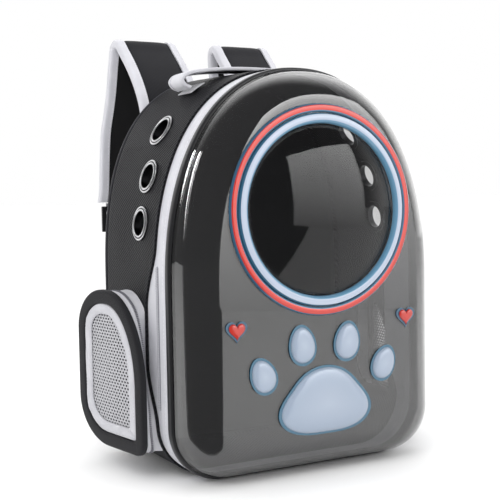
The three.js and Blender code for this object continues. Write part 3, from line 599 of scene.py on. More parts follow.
def spacer_mesh(name, dark, light, pitch):
    """Polyester spacer mesh: staggered open cells at a pitch in mm, with painted shade in the holes."""
    material, tree = finish(name, Roughness=0.9, Sheen_Weight=0.2)
    inputs = {"Vector": whereabouts(tree, "Object"), "Scale": 1 / (pitch * MM), "Randomness": 0.15}
    cells = add(tree, "ShaderNodeTexVoronoi", inputs).outputs["Distance"]
    # Painted shade: each cell is darker towards its middle, where the hole is
    rim = spread(tree, cells, (0.2, 0.5))
    wire(tree, rim, 0.7, 0.8, Base_Color=blend(tree, rim, dark, light))
    return material


def two_tone(base, name, mark, colour, **sockets):
    """Copy of a material that has another colour where a piece's mark is set."""
    material = base.copy()
    material.name = name
    tree = material.node_tree
    shader = tree.nodes["Principled BSDF"]
    for socket, value in sockets.items():
        shader.inputs[socket].default_value = value
    where = add(tree, "ShaderNodeAttribute", attribute_name=mark).outputs["Fac"]
    own = shader.inputs["Base Color"].links[0].from_socket
    tree.links.new(blend(tree, where, own, colour), shader.inputs["Base Color"])
    return material


# Coated polyester twill of the case, with its diagonal drawn at 3.4 mm so that it shows
CASE_CLOTH = woven("coated_polyester_twill", "#050507", "#222227", 3.4, 0.9, 0.55, Specular_IOR_Level=0.17)
# The back panel has a plain, closer weave, which looks smooth through the window
PANEL_CLOTH = woven("coated_plain_polyester", "#0f0f11", "#1d1d20", 1.8, 0.06, 0.6, 0.0,
                    Specular_IOR_Level=0.15)
# Smoother nylon on the pocket's padded band and the straps, with a finer plain weave
POCKET_CLOTH = woven("nylon_plain_weave", "#17171a", "#26262a", 1.1, 0.15, 0.6, 0.0, Specular_IOR_Level=0.25)
STRAP_CLOTH = woven("strap_nylon", "#161619", "#27272c", 1.6, 0.2, 0.66, 0.0, Specular_IOR_Level=0.22)
# The straps' wearer side is dark spacer mesh, and the handle's ends are white cloth
STRAP_SKIN = two_tone(STRAP_CLOTH, "strap_two_sided", "under", "#1a1a1b")
HANDLE_SKIN = two_tone(STRAP_CLOTH, "handle_two_colours", "white", "#d0d0d5")
# Moulded strip of soft PVC round the clear front
STRIP_PLASTIC = moulded("black_soft_pvc", "#1b1b1e", 0.38, 3.0, 0.15)
PIPING_CLOTH = woven("piping_cloth", "#232327", "#3a3a40", 1.4, 0.2, 0.55)
# Grosgrain tape: binding and zip tape, ribs drawn at 1.2 mm
WHITE_TAPE = taped("white_grosgrain", "#d4d4d9", "#bcbcc3", 1.2, 0.2, "Y")
WHITE_CLOTH = taped("white_nylon", "#d2d2d6", "#b2b2b8", 0.9, 0.3, "X")
WEBBING_CLOTH = taped("white_webbing", "#d2d2d7", "#b4b4ba", 2.0, 0.35, "Y")
# Nylon coil of the zip, greyer than its tape
COIL_PLASTIC = moulded("nylon_coil", "#c6c6cc", 0.42, 1.5, 0.1)
# Grey of the painted shadow strip under the zip's teeth, also used for the pocket zips' teeth
COIL_SHADOW = moulded("coil_shadow_grey", "#77777e", 0.8, 1.5, 0.1)
THREAD = moulded("white_thread", "#d9d9de", 0.75, 0.8, 0.1)
DARK_THREAD = moulded("black_thread", "#3c3c42", 0.7, 0.8, 0.1)
PALE_ENAMEL = painted("pale_enamel", "#aeb7c6", "#93a0b2", "#2f5f78", "#5e86a0", -1.0, 0.9)
RING_ENAMEL = painted("pale_ring_enamel", "#9fabbe", "#b0bbcc", "#2c5a74", "#5a86a2", 0.3, 0.84)
BAND_ENAMEL = painted("red_band_enamel", "#c92a1b", "#b52418", "#2c4f68", "#54768f", 0.24, 0.8)
RED_ENAMEL = painted("red_enamel", "#cf2d1c", "#b02417", "#2c4f68", "#54768f", -1.0, 0.86)
SMOKED_CLEAR = clear_plastic("smoked_polycarbonate", "#161618", 0.42, 0.56, 1.0)
WINDOW_CLEAR = clear_plastic("window_polycarbonate", "#121214", 0.2, 0.5, 0.45)
# Nickel-plated brass eyelets and slider, pressed and tumbled bright
NICKEL = moulded("nickel_plate", "#d4d4d6", 0.16, 6.0, 0.05, Metallic=1.0)
# Bright on an eyelet's rolled lips, and dark in its groove, with painted shade in its hole and at its inner
# end
EYELET_SKIN = two_tone(NICKEL, "eyelet_nickel", "dark_groove_and_painted_shade", "#242426", Roughness=0.3)
LOCK_PLASTIC = moulded("black_acetal", "#1c1c1e", 0.36, 1.2, 0.06)
BACK_MESH = spacer_mesh("spacer_mesh", "#101012", "#2e2e32", 3.2)
# Knitted net of the pockets: grey-white monofilament
NET = moulded("grey_net", "#b4b4b8", 0.55, 2.0, 0.05)


# The case with its piping


def lip_draw():
    """How far the case's front edge draws back at each column, where the zip lies open."""
    return lip_extra(ring(RIM_Y + LIP_MIN)[0, :, 2])


def eyelet_places():
    """Each eyelet's place and outward normal: on the arch at its height, square to the skin."""
    found = []
    for side in (-1, 1):
        for i in range(3):
            z = EYELET_TOP - EYELET_PITCH * i
            y = EYELET_BACK + (TOP_EYELET_BACK if i == 0 else 0)
            half, rise, k = section_at(y)
            up = (z - SHOULDER) / rise
            normal = unit(np.array([(1 - up**k) ** ((k - 1) / k) / half, 0, up ** (k - 1) / rise]))
            lean = (half_width(y + 1, z) - half_width(y - 1, z)) / 2 * normal[0]
            found.append((side, i + 1, np.array([side * half_width(y, z), y, z]),
                          unit(np.array([side * normal[0], -lean, normal[2]]))))
    return found


EYELETS = eyelet_places()


def pocket_outline(inset, steps=20):
    """Outline of a side pocket in y and z: a quarter ellipse at each corner, straight between them.

    Each row is a corner: its y and z side, its share of the length and of the height, its first angle.
    """
    y = np.array([RIM_Y + POCKET_FRONT + inset, RIM_Y + POCKET_FRONT + POCKET_LENGTH - inset])
    z = np.array([POCKET_LOW + inset, POCKET_LOW + POCKET_TALL - inset])
    corners = ((0, 0, 0.12, 0.09, 180), (1, 0, 0.46, 0.3, 270), (1, 1, 0.4, 0.27, 0), (0, 1, 0.56, 0.58, 90))
    turn = np.radians(np.linspace(0, 90, steps))
    arcs = []
    for end_y, end_z, along, up, start in corners:
        reach_y = max(LEAST_CORNER, along * POCKET_LENGTH - inset)
        reach_z = max(LEAST_CORNER, up * POCKET_TALL - inset)
        middle = (y[end_y] + (1 - 2 * end_y) * reach_y, z[end_z] + (1 - 2 * end_z) * reach_z)
        angle = np.radians(start) + turn
        arcs.append(np.stack([middle[0] + reach_y * np.cos(angle), middle[1] + reach_z * np.sin(angle)], -1))
    arcs = np.array(arcs)
    ahead = np.roll(arcs[:, :1], -1, axis=0)
    run = np.linspace(0, 1, steps // 2 + 2)[None, 1:-1, None]
    return np.concatenate([arcs, mix(arcs[:, -1:], ahead, run)], axis=1).reshape(-1, 2)


def back_edge(first, last, steps=5):
    """Rings round the rounded rear edge, from the first to the last turn in degrees."""
    turn = np.radians(np.linspace(first, last, steps))[:, None]
    return ring(BACK_Y - BACK_EDGE + BACK_EDGE * np.sin(turn), BACK_EDGE * (1 - np.cos(turn)))


def make_back_panel():
    """Back of the case in one grid: half of the rounded edge, then rings that shrink to the middle.

    Its weave lies flat in x and z, as the cloth was cut.
    """
    edge = back_edge(BACK_SEAM + SEAM_GAP, 90)
    middle = np.array([0, BACK_Y, BACK_HEIGHT / 2])
    wall = mix(edge[-1], middle, np.linspace(0, 0.97, 14)[1:, None, None])
    surface("back_cloth", np.concatenate([edge, wall]), PANEL_CLOTH, "coated_fabric", ["case_back"],
            round_columns=True, caps=(-1,), plane=(0, 2), wall=CASE_WALL, inside=CASE_MIDDLE)


def make_case():
    """Side panel in one grid: from the lip back, then half of the way round the rear edge.

    Faces are left out where the eyelets and the pockets' vents pass, and a wall goes inward.
    """
    lip = RIM_Y + LIP_MIN + lip_draw()
    share = np.linspace(0, 1, 76)[:, None]
    side = ring(mix(lip, BACK_Y - BACK_EDGE, share))
    grid = np.concatenate([side, back_edge(0, BACK_SEAM - SEAM_GAP)[1:]])
    # The cloth is taut but not flat: it dips up to half a millimetre between its seams
    z, y = side[..., 2], side[..., 1]
    dip = 0.5 * np.sin(np.pi * share) * (1 + np.sin(z / 31) * np.cos(y / 17))
    grid[: len(side), :, 0] -= np.sign(side[..., 0]) * dip * smooth(CORNER_RADIUS, 90, z) * (z < 330)
    closed = np.concatenate([grid, grid[:, :1]], axis=1)
    centre = (closed[:-1, :-1] + closed[1:, 1:]) / 2
    keep = np.ones(centre.shape[:2], bool)
    for _, _, spot, _ in EYELETS:
        keep &= np.linalg.norm(centre - spot, axis=-1) > EYELET_CUT
    beside = (np.abs(centre[..., 0]) > POCKET_LENGTH) & (centre[..., 1] < BACK_Y - BACK_EDGE)
    keep &= ~(beside & within(centre[..., 1:], pocket_outline(VENT_INSET)))
    surface("case_cloth", grid, CASE_CLOTH, "coated_fabric", ["case_shell"], round_columns=True,
            keep=keep, wall=CASE_WALL, inside=CASE_MIDDLE)
    front = ring(lip + 2.2, -0.05)[0]
    up = front - ring(lip + 2.2, 1)[0]
    stitches("case_lip_stitches", [(front, up)], DARK_THREAD, "coated_fabric")


def make_piping():
    """Round cord in its cloth: a circle of 16 sides carried round the rear edge, nested in it."""
    off = (BACK_EDGE + GAP + PIPING_RADIUS) * np.sqrt(0.5)
    turn = np.linspace(0, 2 * np.pi, 16, endpoint=False)[:, None]
    points = ring(BACK_Y - BACK_EDGE + off + PIPING_RADIUS * np.sin(turn),
                  BACK_EDGE - off + PIPING_RADIUS * np.cos(turn))
    surface("rear_piping", points, PIPING_CLOTH, "piping_cord", ["back_piping"], **HOOP)


def make_zip():
    """Tape round the rim: inset from the bag's outline, with a low ridge over the hidden coil.

    Where the zip lies open the tape is wider, and two rows of teeth show on a grey strip of painted shadow.
    """
    tape_end = RIM_Y + LIP_MIN + TAPE_TUCK + lip_draw()
    share = np.linspace(0, 1, 40)[:, None]
    y = mix(RIM_Y + GAP, tape_end, share)
    ridge = COIL_RIDGE * np.exp(-(((y - RIM_Y - COIL_IN) / 2.2) ** 2))
    fold = HEM_RIDGE * np.exp(-(((y - RIM_Y - HEM_IN) / 1.2) ** 2))
    points = ring(y, TAPE_INSET - ridge * (1 - lip_draw() / OPEN_TAPE) - fold)
    surface("zip_tape_cloth", points, WHITE_TAPE, "white_tape", ["zip_tape"], round_columns=True,
            wall=TAPE_THICKNESS)
    hem = ring(RIM_Y + HEM_SEAM, TAPE_INSET - 0.12)[0]
    up = hem - ring(RIM_Y + HEM_SEAM, TAPE_INSET + 1)[0]
    stitches("zip_hem_stitches", [(hem, up)], THREAD, "white_tape")
    for sign, word in SIDES:
        make_teeth(sign, word)


def make_teeth(sign, word):
    """Two staggered rows of teeth on a grey strip of painted shadow, with a seam on each side of it."""
    low, high = node_box(f"zip_coil_{word}")
    z = np.linspace(low[2], high[2], 60)
    y = np.full(60, (low[1] + high[1]) / 2)
    out = half_width(RIM_Y, z) - TAPE_INSET + GAP
    path = np.stack([sign * (out + 0.55), y, z], -1)
    aside = np.array([0, 1.15, 0])
    shift = np.array([0, 0, TOOTH_PITCH / 2])
    form = tooth(1.0, 2.1, 1.1)
    made = [copies(form, *along_path(path + aside, (sign, 0, 0), TOOTH_PITCH)),
            copies(form, *along_path(path - aside + shift, (sign, 0, 0), TOOTH_PITCH))]
    joined(f"zip_teeth_{word}", made, COIL_PLASTIC, "zip_coil", [f"zip_coil_{word}"])
    strip = np.array([(-2.9, -0.2), (2.9, -0.2), (2.9, 0.2), (-2.9, 0.2)])
    base = np.stack([sign * (out + 0.1), y, z], -1)
    # Painted shadow: a grey strip laid under the teeth
    surface(f"zip_shadow_strip_{word}", sweep(base, (0, 1, 0), strip), COIL_SHADOW, "zip_coil", **TUBE)
    rows = [(base + (sign * 0.1, step, 0), (sign, 0, 0)) for step in (-4.4, 4.4)]
    stitches(f"zip_stitches_{word}", rows, THREAD, "white_tape", **TAPE_STITCH)


def make_strip():
    """Rounded strip in front of the tape: half an oval carried round the rim, sewn along its rear side."""
    turn = np.radians(np.linspace(-90, 90, 15))[:, None]
    near, far = RIM_Y - GAP, RIM_Y - STRIP_WIDTH
    middle, half = (near + far) / 2, (near - far) / 2
    y = middle - half * np.sign(turn) * np.abs(np.sin(turn)) ** 0.7
    inset = STRIP_INSET + STRIP_THICKNESS * (1 - np.cos(turn).clip(0) ** 0.6)
    surface("rim_strip", ring(y, inset), STRIP_PLASTIC, "black_plastic", ["rim_piping"], **HOOP)
    seam = near - 2.6
    path = ring(seam, STRIP_INSET + 0.25)[0]
    up = path - ring(seam, STRIP_INSET + STRIP_THICKNESS)[0]
    stitches("strip_stitches_1", [(path, up)], DARK_THREAD, "black_plastic", **STRIP_STITCH)


# The clear front, its window and its raised work


def make_shell():
    """Deep tray: straight at the rim with a small moulded step, then a quarter ellipse to the flat face.

    The face's rows run from that edge to the window's circle, each column along its own radius.
    """
    shoulder = RIM_Y - STRIP_WIDTH
    deep = SHELL_DEPTH - STRIP_WIDTH
    turn = np.radians(np.linspace(0, 90, 34))[:, None]
    y = np.vstack([[[RIM_Y - 2 * GAP]], [[shoulder + 3]], shoulder - deep * np.sin(turn)])
    turn = np.vstack([[[0]], [[0]], turn])
    inset = SHELL_EDGE * (1 - np.cos(turn))
    faded = 1 - smooth(60, 90, np.degrees(turn))
    step = STEP_DEPTH * smooth(-STEP_Y - 0.8, -STEP_Y + 0.8, -y) * faded
    walls = ring(y, SHELL_INSET + inset + step)
    edge = walls[-1]
    angle = np.arctan2(edge[:, 2] - WINDOW_Z, edge[:, 0])
    hole = facing(WINDOW_RADIUS, angle, -GAP)
    face = mix(edge, hole, np.linspace(0, 1, 12)[1:, None, None])
    surface("clear_front", np.concatenate([walls, face]), SMOKED_CLEAR, "clear_plastic", ["clear_shell"],
            round_columns=True, wall=SHELL_THICKNESS, inside=(0, RIM_Y, BACK_HEIGHT / 2), crease=60)


def facing(radius, turn, height):
    """Points on the front: radius and turn round the window's middle, height off the clear face."""
    x, z = radius * np.cos(turn), WINDOW_Z + radius * np.sin(turn)
    return np.stack(np.broadcast_arrays(x, SEAT_Y - height, z), -1)


def make_window():
    """Domed pane: a ball's cap whose radius comes from its own width and rise."""
    radius = WINDOW_RADIUS - GAP
    ball = (radius**2 + DOME_RISE**2) / (2 * DOME_RISE)
    slope = np.linspace(np.arcsin(radius / ball), 0.01, 26)[:, None]
    turn = np.linspace(0, 2 * np.pi, 128, endpoint=False)
    points = facing(ball * np.sin(slope), turn, ball * np.cos(slope) - ball + DOME_RISE)
    surface("window_pane", points, WINDOW_CLEAR, "clear_plastic", ["window_dome"], round_columns=True,
            caps=(-1,), wall=DOME_THICKNESS, inside=(0, BACK_Y, WINDOW_Z))


def raised_ring(name, radius, width, rise, skin, slot, node):
    """Ring with half an oval as its section: rise times a root of one less a power of the distance."""
    share = np.linspace(0, 1, 23)
    height = rise * (1 - np.abs(2 * share - 1) ** 2.6).clip(0) ** 0.55
    r = np.append(radius + width * share, [radius + width, radius])[:, None]
    h = np.append(height, [0, 0])[:, None]
    turn = np.linspace(0, 2 * np.pi, 160, endpoint=False)
    across = np.repeat(np.append(share, [1.0, 0.0])[:, None], len(turn), 1)
    surface(name, facing(r, turn, h), skin, slot, [node], marks={"across": across}, **HOOP)


def make_rings():
    raised_ring("pale_ring", WINDOW_RADIUS, RING_WIDTH, RING_RISE, RING_ENAMEL, "pale_relief", "window_ring")
    inner = WINDOW_RADIUS + RING_WIDTH + GAP
    raised_ring("red_ring", inner, BAND_WIDTH, BAND_RISE, BAND_ENAMEL, "red_relief", "accent_ring")


def mound(name, outline, rise, x, z, lean, skin, slot, node):
    """Relief on the clear face: its outline shrinks to its middle while it rises.

    A flat painted edge comes first, then height follows the root of one less the share to the fourth.
    """
    turn = np.linspace(0, 2 * np.pi, 96, endpoint=False)
    across, up = outline(turn)
    small = min(np.ptp(across), np.ptp(up)) / 2
    flange = 1 - PAINTED_EDGE / small
    slope = flange * np.sin(np.linspace(np.pi / 2, 0.03, 22))
    share = np.concatenate([[1, 1], np.linspace(1, flange, 4)[1:], slope[1:]])
    height = 0.9 + (rise - 0.9) * np.sqrt((1 - (share / flange) ** 4).clip(0))
    height[0] = 0
    edge = np.where(share > flange + 1e-6, 0.97, 0.89 * share / flange)
    swing = np.radians(lean)
    flat_x = across * share[:, None]
    flat_z = up * share[:, None]
    points = np.stack([
        x + flat_x * np.cos(swing) + flat_z * np.sin(swing),
        SEAT_Y - height[:, None] + 0 * flat_x,
        z + flat_z * np.cos(swing) - flat_x * np.sin(swing),
    ], -1)
    marks = {"across": np.repeat(edge[:, None], len(turn), 1)}
    surface(name, points, skin, slot, [node], marks=marks, **TUBE)


def oval(width, height, point):
    """Ellipse that narrows towards its top by the share point."""
    return lambda turn: (width / 2 * np.cos(turn) * (1 - point * np.sin(turn)), height / 2 * np.sin(turn))


def three_lobed(width, height, lobe):
    """Circle whose radius swells three times a turn."""
    swell = lambda turn: 1 + lobe * np.cos(3 * (turn - np.pi / 2))
    return lambda turn: (width / 2 * swell(turn) * np.cos(turn), height / 2 * swell(turn) * np.sin(turn))


def heart(width):
    """The usual heart curve, which is 32 units wide."""
    size = width / 32
    high = lambda t: 13 * np.cos(t) - 5 * np.cos(2 * t) - 2 * np.cos(3 * t) - np.cos(4 * t)
    return lambda turn: (size * 16 * np.sin(turn) ** 3, size * high(turn))


def make_paw():
    pad = three_lobed(PAD_WIDTH, PAD_HEIGHT, PAD_LOBE)
    mound("paw_sole", pad, PAD_RISE, 0, PAW_Z, 0, PALE_ENAMEL, "pale_relief", "paw_pad")
    # Columns: width, height, out from the middle, up from the pad, lean in degrees
    outer, inner = (29, 38, 70, 33, 24), (31, 41, 26, 59, 8)
    toes = ((-1, outer), (-1, inner), (1, inner), (1, outer))
    for i, (sign, (width, tall, out, up, lean)) in enumerate(toes, 1):
        toe = oval(width, tall, TOE_POINT)
        mound(f"toe_{i}", toe, TOE_RISE, sign * out, PAW_Z + up, sign * lean, PALE_ENAMEL, "pale_relief",
              f"paw_toe_{i}")
    for sign, word in SIDES:
        mound(f"heart_shape_{word}", heart(HEART_WIDTH), HEART_RISE, sign * HEART_OUT, HEART_Z, 0, RED_ENAMEL,
              "red_relief", f"heart_{word}")


# Eyelets


def make_eyelets():
    """Pressed eyelets, each turned round its own axis: a rolled lip at the hole, a groove and a raised rim.

    A plain washer lies inside the case, at the depth of the CAD solid's end.
    """
    turn = np.linspace(0, 2 * np.pi, 64, endpoint=False)
    bead = np.radians(np.linspace(180, -20, 9))
    rim = np.radians(np.linspace(160, -30, 7))
    for side, number, spot, normal in EYELETS:
        name = f"eyelet_{'left' if side < 0 else 'right'}_{number}"
        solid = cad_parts[name].data.vertices
        low = min((np.array(v.co) / MM - spot) @ normal for v in solid)
        outer = [(EYELET_HOLE + 1.0 + 1.0 * np.cos(a), 1.15 + 1.0 * np.sin(a)) for a in bead]
        outer += [(EYELET_HOLE + 2.5, 0.45)]
        outer += [(EYELET_HOLE + 3.9 + 0.95 * np.cos(a), 0.65 + 0.8 * np.sin(a)) for a in rim]
        barrel_wall = [(EYELET_RIM, GAP), (EYELET_BARREL, GAP), (EYELET_BARREL, low + 1.6)]
        washer = [(EYELET_RIM, low + 1.6), (EYELET_RIM + 0.3, low + 0.8), (EYELET_RIM, low),
                  (EYELET_HOLE, low)]
        profile = np.array(outer + barrel_wall + washer)
        across = unit(np.cross(normal, (0, 1, 0)))
        other = np.cross(normal, across)
        spin = np.cos(turn)[None, :, None] * across + np.sin(turn)[None, :, None] * other
        points = spot + profile[:, 1][:, None, None] * normal + profile[:, 0][:, None, None] * spin
        # Points in the hole, in the groove and at the inner end are dark: painted shade in the hole and at
        # the inner end
        dark_groove_and_painted_shade = np.zeros(len(profile))
        dark_groove_and_painted_shade[[0, 8, 9, 10, -2, -1]] = 1
        marks = {"dark_groove_and_painted_shade": np.repeat(dark_groove_and_painted_shade[:, None], len(turn), 1)}
        surface(f"grommet_{name[7:]}", points, EYELET_SKIN, "chrome", [name], marks=marks, **HOOP)


# Side pockets


def face_x(y):
    """How far out a pocket's face stands at depth y: it leans out towards the back."""
    share = (y - RIM_Y - POCKET_FRONT) / POCKET_LENGTH
    return BACK_WIDTH / 2 + mix(POCKET_FRONT_RISE, POCKET_BACK_RISE, share)


def on_face(inset, off, sign):
    """Loops on a pocket's face: each row has its inset from the outline and its depth below the face."""
    rows = []
    for one_inset, one_off in zip(np.broadcast_to(inset, np.shape(off)), off):
        flat = pocket_outline(one_inset)
        rows.append(np.stack([sign * (face_x(flat[:, 0]) - one_off), flat[:, 0], flat[:, 1]], -1))
    return np.array(rows)


def make_pocket(sign, word):
    """Pocket with a padded band that is flat below and crowned above, and a puckered frame round the net."""
    turn = np.radians(np.linspace(180, 0, 17))
    inset = np.append(FACE_BAND / 2 * (1 + power(np.cos(turn), 0.55)), [FACE_BAND, 0])
    off = np.append(2.6 - 3.2 * np.sin(turn) ** 0.6, [FACE_THICKNESS, FACE_THICKNESS])
    pad = surface(f"pocket_band_{word}", on_face(inset, off, sign), POCKET_CLOTH, "coated_fabric",
                  [f"pocket_face_{word}"], **HOOP, crease=50)
    # Frame of soft white cloth, with its edges turned under
    first = FACE_BAND + GAP
    share = np.linspace(0, 1, 15)
    inset = np.append(first + FRAME_WIDTH * share, [first + FRAME_WIDTH, first])
    off = np.append(1.5 - 2.4 * np.sin(np.pi * share) ** 0.5, [2.2, 2.2])
    points = on_face(inset, off, sign)
    run = np.arange(points.shape[1]) / points.shape[1] * 2 * np.pi
    pucker = 0.5 * np.sin(11 * run + 1) + 0.35 * np.sin(23 * run + sign) + 0.25 * np.sin(37 * run)
    points[:15, :, 0] += sign * pucker * np.sin(np.pi * share)[:, None]
    surface(f"pocket_trim_{word}", points, WHITE_CLOTH, "white_tape", [f"pocket_frame_{word}"], **HOOP)
    make_net(sign, word)
    make_gusset(sign, word)
    seams = ((f"pocket_stitches_{word}", first + 1.6, 0.15, THREAD, "white_tape"),
             (f"pocket_band_stitches_{word}", FACE_BAND - 1.5, 0.6, DARK_THREAD, "coated_fabric"))
    for name, seam_inset, depth, thread, slot in seams:
        seam = on_face([seam_inset], [depth], sign)[0]
        stitches(name, [(np.vstack([seam, seam[:1]]), (sign, 0, 0))], thread, slot, **SMALL_STITCH)


def make_net(sign, word):
    """Net of staggered holes: each cell is a ring of eight quads from its edge to an oval hole.

    Every second row moves by half a cell, so that a cell's corners meet the middles of the next row's.
    """
    outline = pocket_outline(FACE_BAND + 3)
    low, high = outline.min(0), outline.max(0)
    count_y = int((high[0] - low[0]) / NET_PITCH_Y) + 2
    count_z = int((high[1] - low[1]) / NET_PITCH_Z) + 1
    j, i = np.meshgrid(np.arange(count_z), np.arange(count_y), indexing="ij")
    centre_y = low[0] + NET_PITCH_Y * (i + 0.5 * (j % 2) - 0.5)
    centre = np.stack([centre_y, low[1] + NET_PITCH_Z * (j + 0.5)], -1)
    centre = centre[within(centre, outline)]
    around = np.array([(-1, -1), (0, -1), (1, -1), (1, 0), (1, 1), (0, 1), (-1, 1), (-1, 0)])
    edge = around * (NET_PITCH_Y / 2, NET_PITCH_Z / 2)
    hole = unit(around.astype(float)) * (NET_HOLE_Y, NET_HOLE_Z)
    cell = np.vstack([edge, hole])
    flat = (centre[:, None] + cell).reshape(-1, 2)
    k = np.arange(8)
    quads = np.stack([k, (k + 1) % 8, (k + 1) % 8 + 8, k + 8], 1)
    faces = (quads[None] + 16 * np.arange(len(centre))[:, None, None]).reshape(-1, 4)
    kept, where = np.unique(np.round(flat, 3), axis=0, return_inverse=True)
    deep = 3.0 - 0.9 * np.exp(-(((kept - outline.mean(0)) / (30, 50)) ** 2).sum(-1))
    points = np.stack([sign * (face_x(kept[:, 0]) - deep), kept[:, 0], kept[:, 1]], -1)
    piece(f"pocket_net_{word}", points, [where.reshape(-1)[faces]], NET, "mesh", [f"pocket_mesh_{word}"],
          inside=(0, 0, 100), wall=0.7)


def make_gusset(sign, word):
    """Side wall of a pocket, from the case's skin to the face, and the zip that runs round its middle.

    It is pulled in a little between its ends, with two low cords beside the zip.
    """
    share = np.linspace(0, 1, 34)

    def wall(inset):
        flat = pocket_outline(inset)
        far = np.stack([face_x(flat[:, 0]) - FACE_THICKNESS - GAP, flat[:, 0], flat[:, 1]], -1)
        y = np.maximum(flat[:, 0], RIM_Y + LIP_MIN + lip_extra(flat[:, 1]) + 2 * GAP + inset)
        near = np.stack([half_width(y, flat[:, 1]) + 2 * GAP, y, flat[:, 1]], -1)
        return near, far

    bead = lambda at: 0.7 * np.exp(-(((share - at) / 0.03) ** 2))
    swell = bead(0.42) + bead(0.7) - 1.2 * np.sin(np.pi * share)
    outer = np.array([mix(*wall(GUSSET_INSET - s), t) for s, t in zip(swell, share)])
    inner = np.array([mix(*wall(GUSSET_INSET + GUSSET_WALL), t) for t in share[::-33]])
    points = np.concatenate([outer, inner]) * (sign, 1, 1)
    surface(f"pocket_wall_{word}", points, WHITE_CLOTH, "white_tape", [f"pocket_gusset_{word}"], **HOOP)
    near, far = wall(GUSSET_INSET + 0.3)
    closed = lambda path: np.vstack([path, path[:1]]) * (sign, 1, 1)
    paths = [closed(mix(near, far, at)) for at in (0.535, 0.585)]
    middle = np.array([0, (RIM_Y + BACK_Y) / 2, 100])
    away = unit((paths[0] - middle) * (0, 1, 1))
    made = [copies(tooth(1.1, 1.5, 1.3), *along_path(path, away, 1.9)) for path in paths]
    # The pocket zip's teeth are drawn in the grey of the painted shadow strip
    joined(f"pocket_teeth_{word}", made, COIL_SHADOW, "zip_coil", [f"pocket_coil_{word}"])


# Straps, locks and webbing

# Route of a strap: shares of its height, of its reach behind the back and of its splay
STRAP_ROUTE = np.array([
    (0.745, 0.002, 0), (0.785, 0.008, 0), (0.822, 0.055, 0), (0.868, 0.19, 0), (0.92, 0.42, 0),
    (0.968, 0.68, 0.02), (0.996, 0.85, 0.04), (0.99, 0.96, 0.06), (0.95, 1, 0.1), (0.86, 1.01, 0.22),
    (0.75, 1.01, 0.48), (0.66, 0.995, 0.8), (0.595, 0.97, 1),
])


def strap_path(sign):
    height, back, splay = STRAP_ROUTE.T
    seat = BACK_Y + GAP + STRAP_THICKNESS / 2
    top = BACK_HEIGHT + STRAP_RISE - STRAP_THICKNESS / 2
    out = sign * (STRAP_SPACING / 2 + STRAP_SPLAY * splay)
    return through(np.stack([out, seat + STRAP_REACH * back, top * height], -1), 150)


def make_strap(sign, word):
    """Padded band: a flat oval section carried along the route, between two bound edges.

    A binding's section is half an oval that stands a little proud of the pad at its sewn edge.
    """
    path = strap_path(sign)
    share = np.linspace(0, 1, len(path))[:, None]
    half = mix(STRAP_WIDTH, STRAP_END_WIDTH, smooth(STRAP_TAPER, 1, share)) / 2
    core = half - STRAP_BINDING + 1.2
    wide, thick = oval_section(40, 0.35)
    # The padding crumples a little on the inner side where the strap bends over
    bend = np.exp(-(((share - 0.44) / 0.07) ** 2))
    crumple = 0.35 * bend * np.sin(share * 230) * (thick < 0)
    profile = np.stack([core * wide, thick * (4.55 - crumple)], -1)
    under = np.repeat((thick < -0.02)[None], len(path), 0)
    pad = surface(f"strap_pad_{word}", sweep(path, (1, 0, 0), profile), STRAP_SKIN, "strap_fabric",
                  [f"strap_{word}"], marks={"under": under}, **TUBE)
    arc = np.radians(np.linspace(90, -90, 15))
    for number, edge in ((1, -1), (2, 1)):
        out = edge * (half - STRAP_BINDING + STRAP_BINDING * np.abs(np.cos(arc)) ** 0.45)
        deep = (5.1 * power(np.sin(arc), 0.35))[None] + 0 * out
        fold = sweep(path, (1, 0, 0), np.stack([out, deep], -1))
        surface(f"strap_edge_{word}_{number}", fold, WHITE_TAPE, "white_tape",
                [f"strap_binding_{word}_{number}"], **TUBE)
        # The seam shows on both faces of the strap
        seam = edge * (half - STRAP_BINDING + 1.7)
        rows = []
        for face in (1, -1):
            line = sweep(path, (1, 0, 0), np.stack([seam, 0 * seam + face * 5.08], -1))[:, 0]
            rows.append((line, line - path - (line - path) * (1, 0, 0)))
        stitches(f"strap_stitches_{word}_{number}", rows, THREAD, "white_tape")
    make_lock(sign, word, path[-1])


def bevelled(name, node, width, skin):
    """Copy of a CAD node's mesh with its doubles merged and its edges rounded by a bevel in mm."""
    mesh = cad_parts[node].data.copy()
    mesh.name = name
    work = bmesh.new()
    work.from_mesh(mesh)
    bmesh.ops.remove_doubles(work, verts=work.verts, dist=0.02 * MM)
    bmesh.ops.dissolve_limit(work, angle_limit=np.radians(2), verts=work.verts, edges=work.edges)
    work.to_mesh(mesh)
    work.free()
    mesh.materials.clear()
    mesh.materials.append(skin)
    obj = in_scene(name, mesh)
    soften = obj.modifiers.new("rounded", "BEVEL")
    soften.width = width * MM
    soften.segments = 3
    soften.harden_normals = True
    return place(obj, [node])


def webbing(name, path, node):
    """Flat woven band along a path: an oval section with nearly square ends, closed at both ends."""
    wide, thick = oval_section(28, 0.25)
    profile = np.stack([WEBBING_WIDTH / 2 * wide, WEBBING_THICKNESS / 2 * thick], -1)
    surface(name, sweep(path, (1, 0, 0), profile), WEBBING_CLOTH, "white_tape", [node], **TUBE)


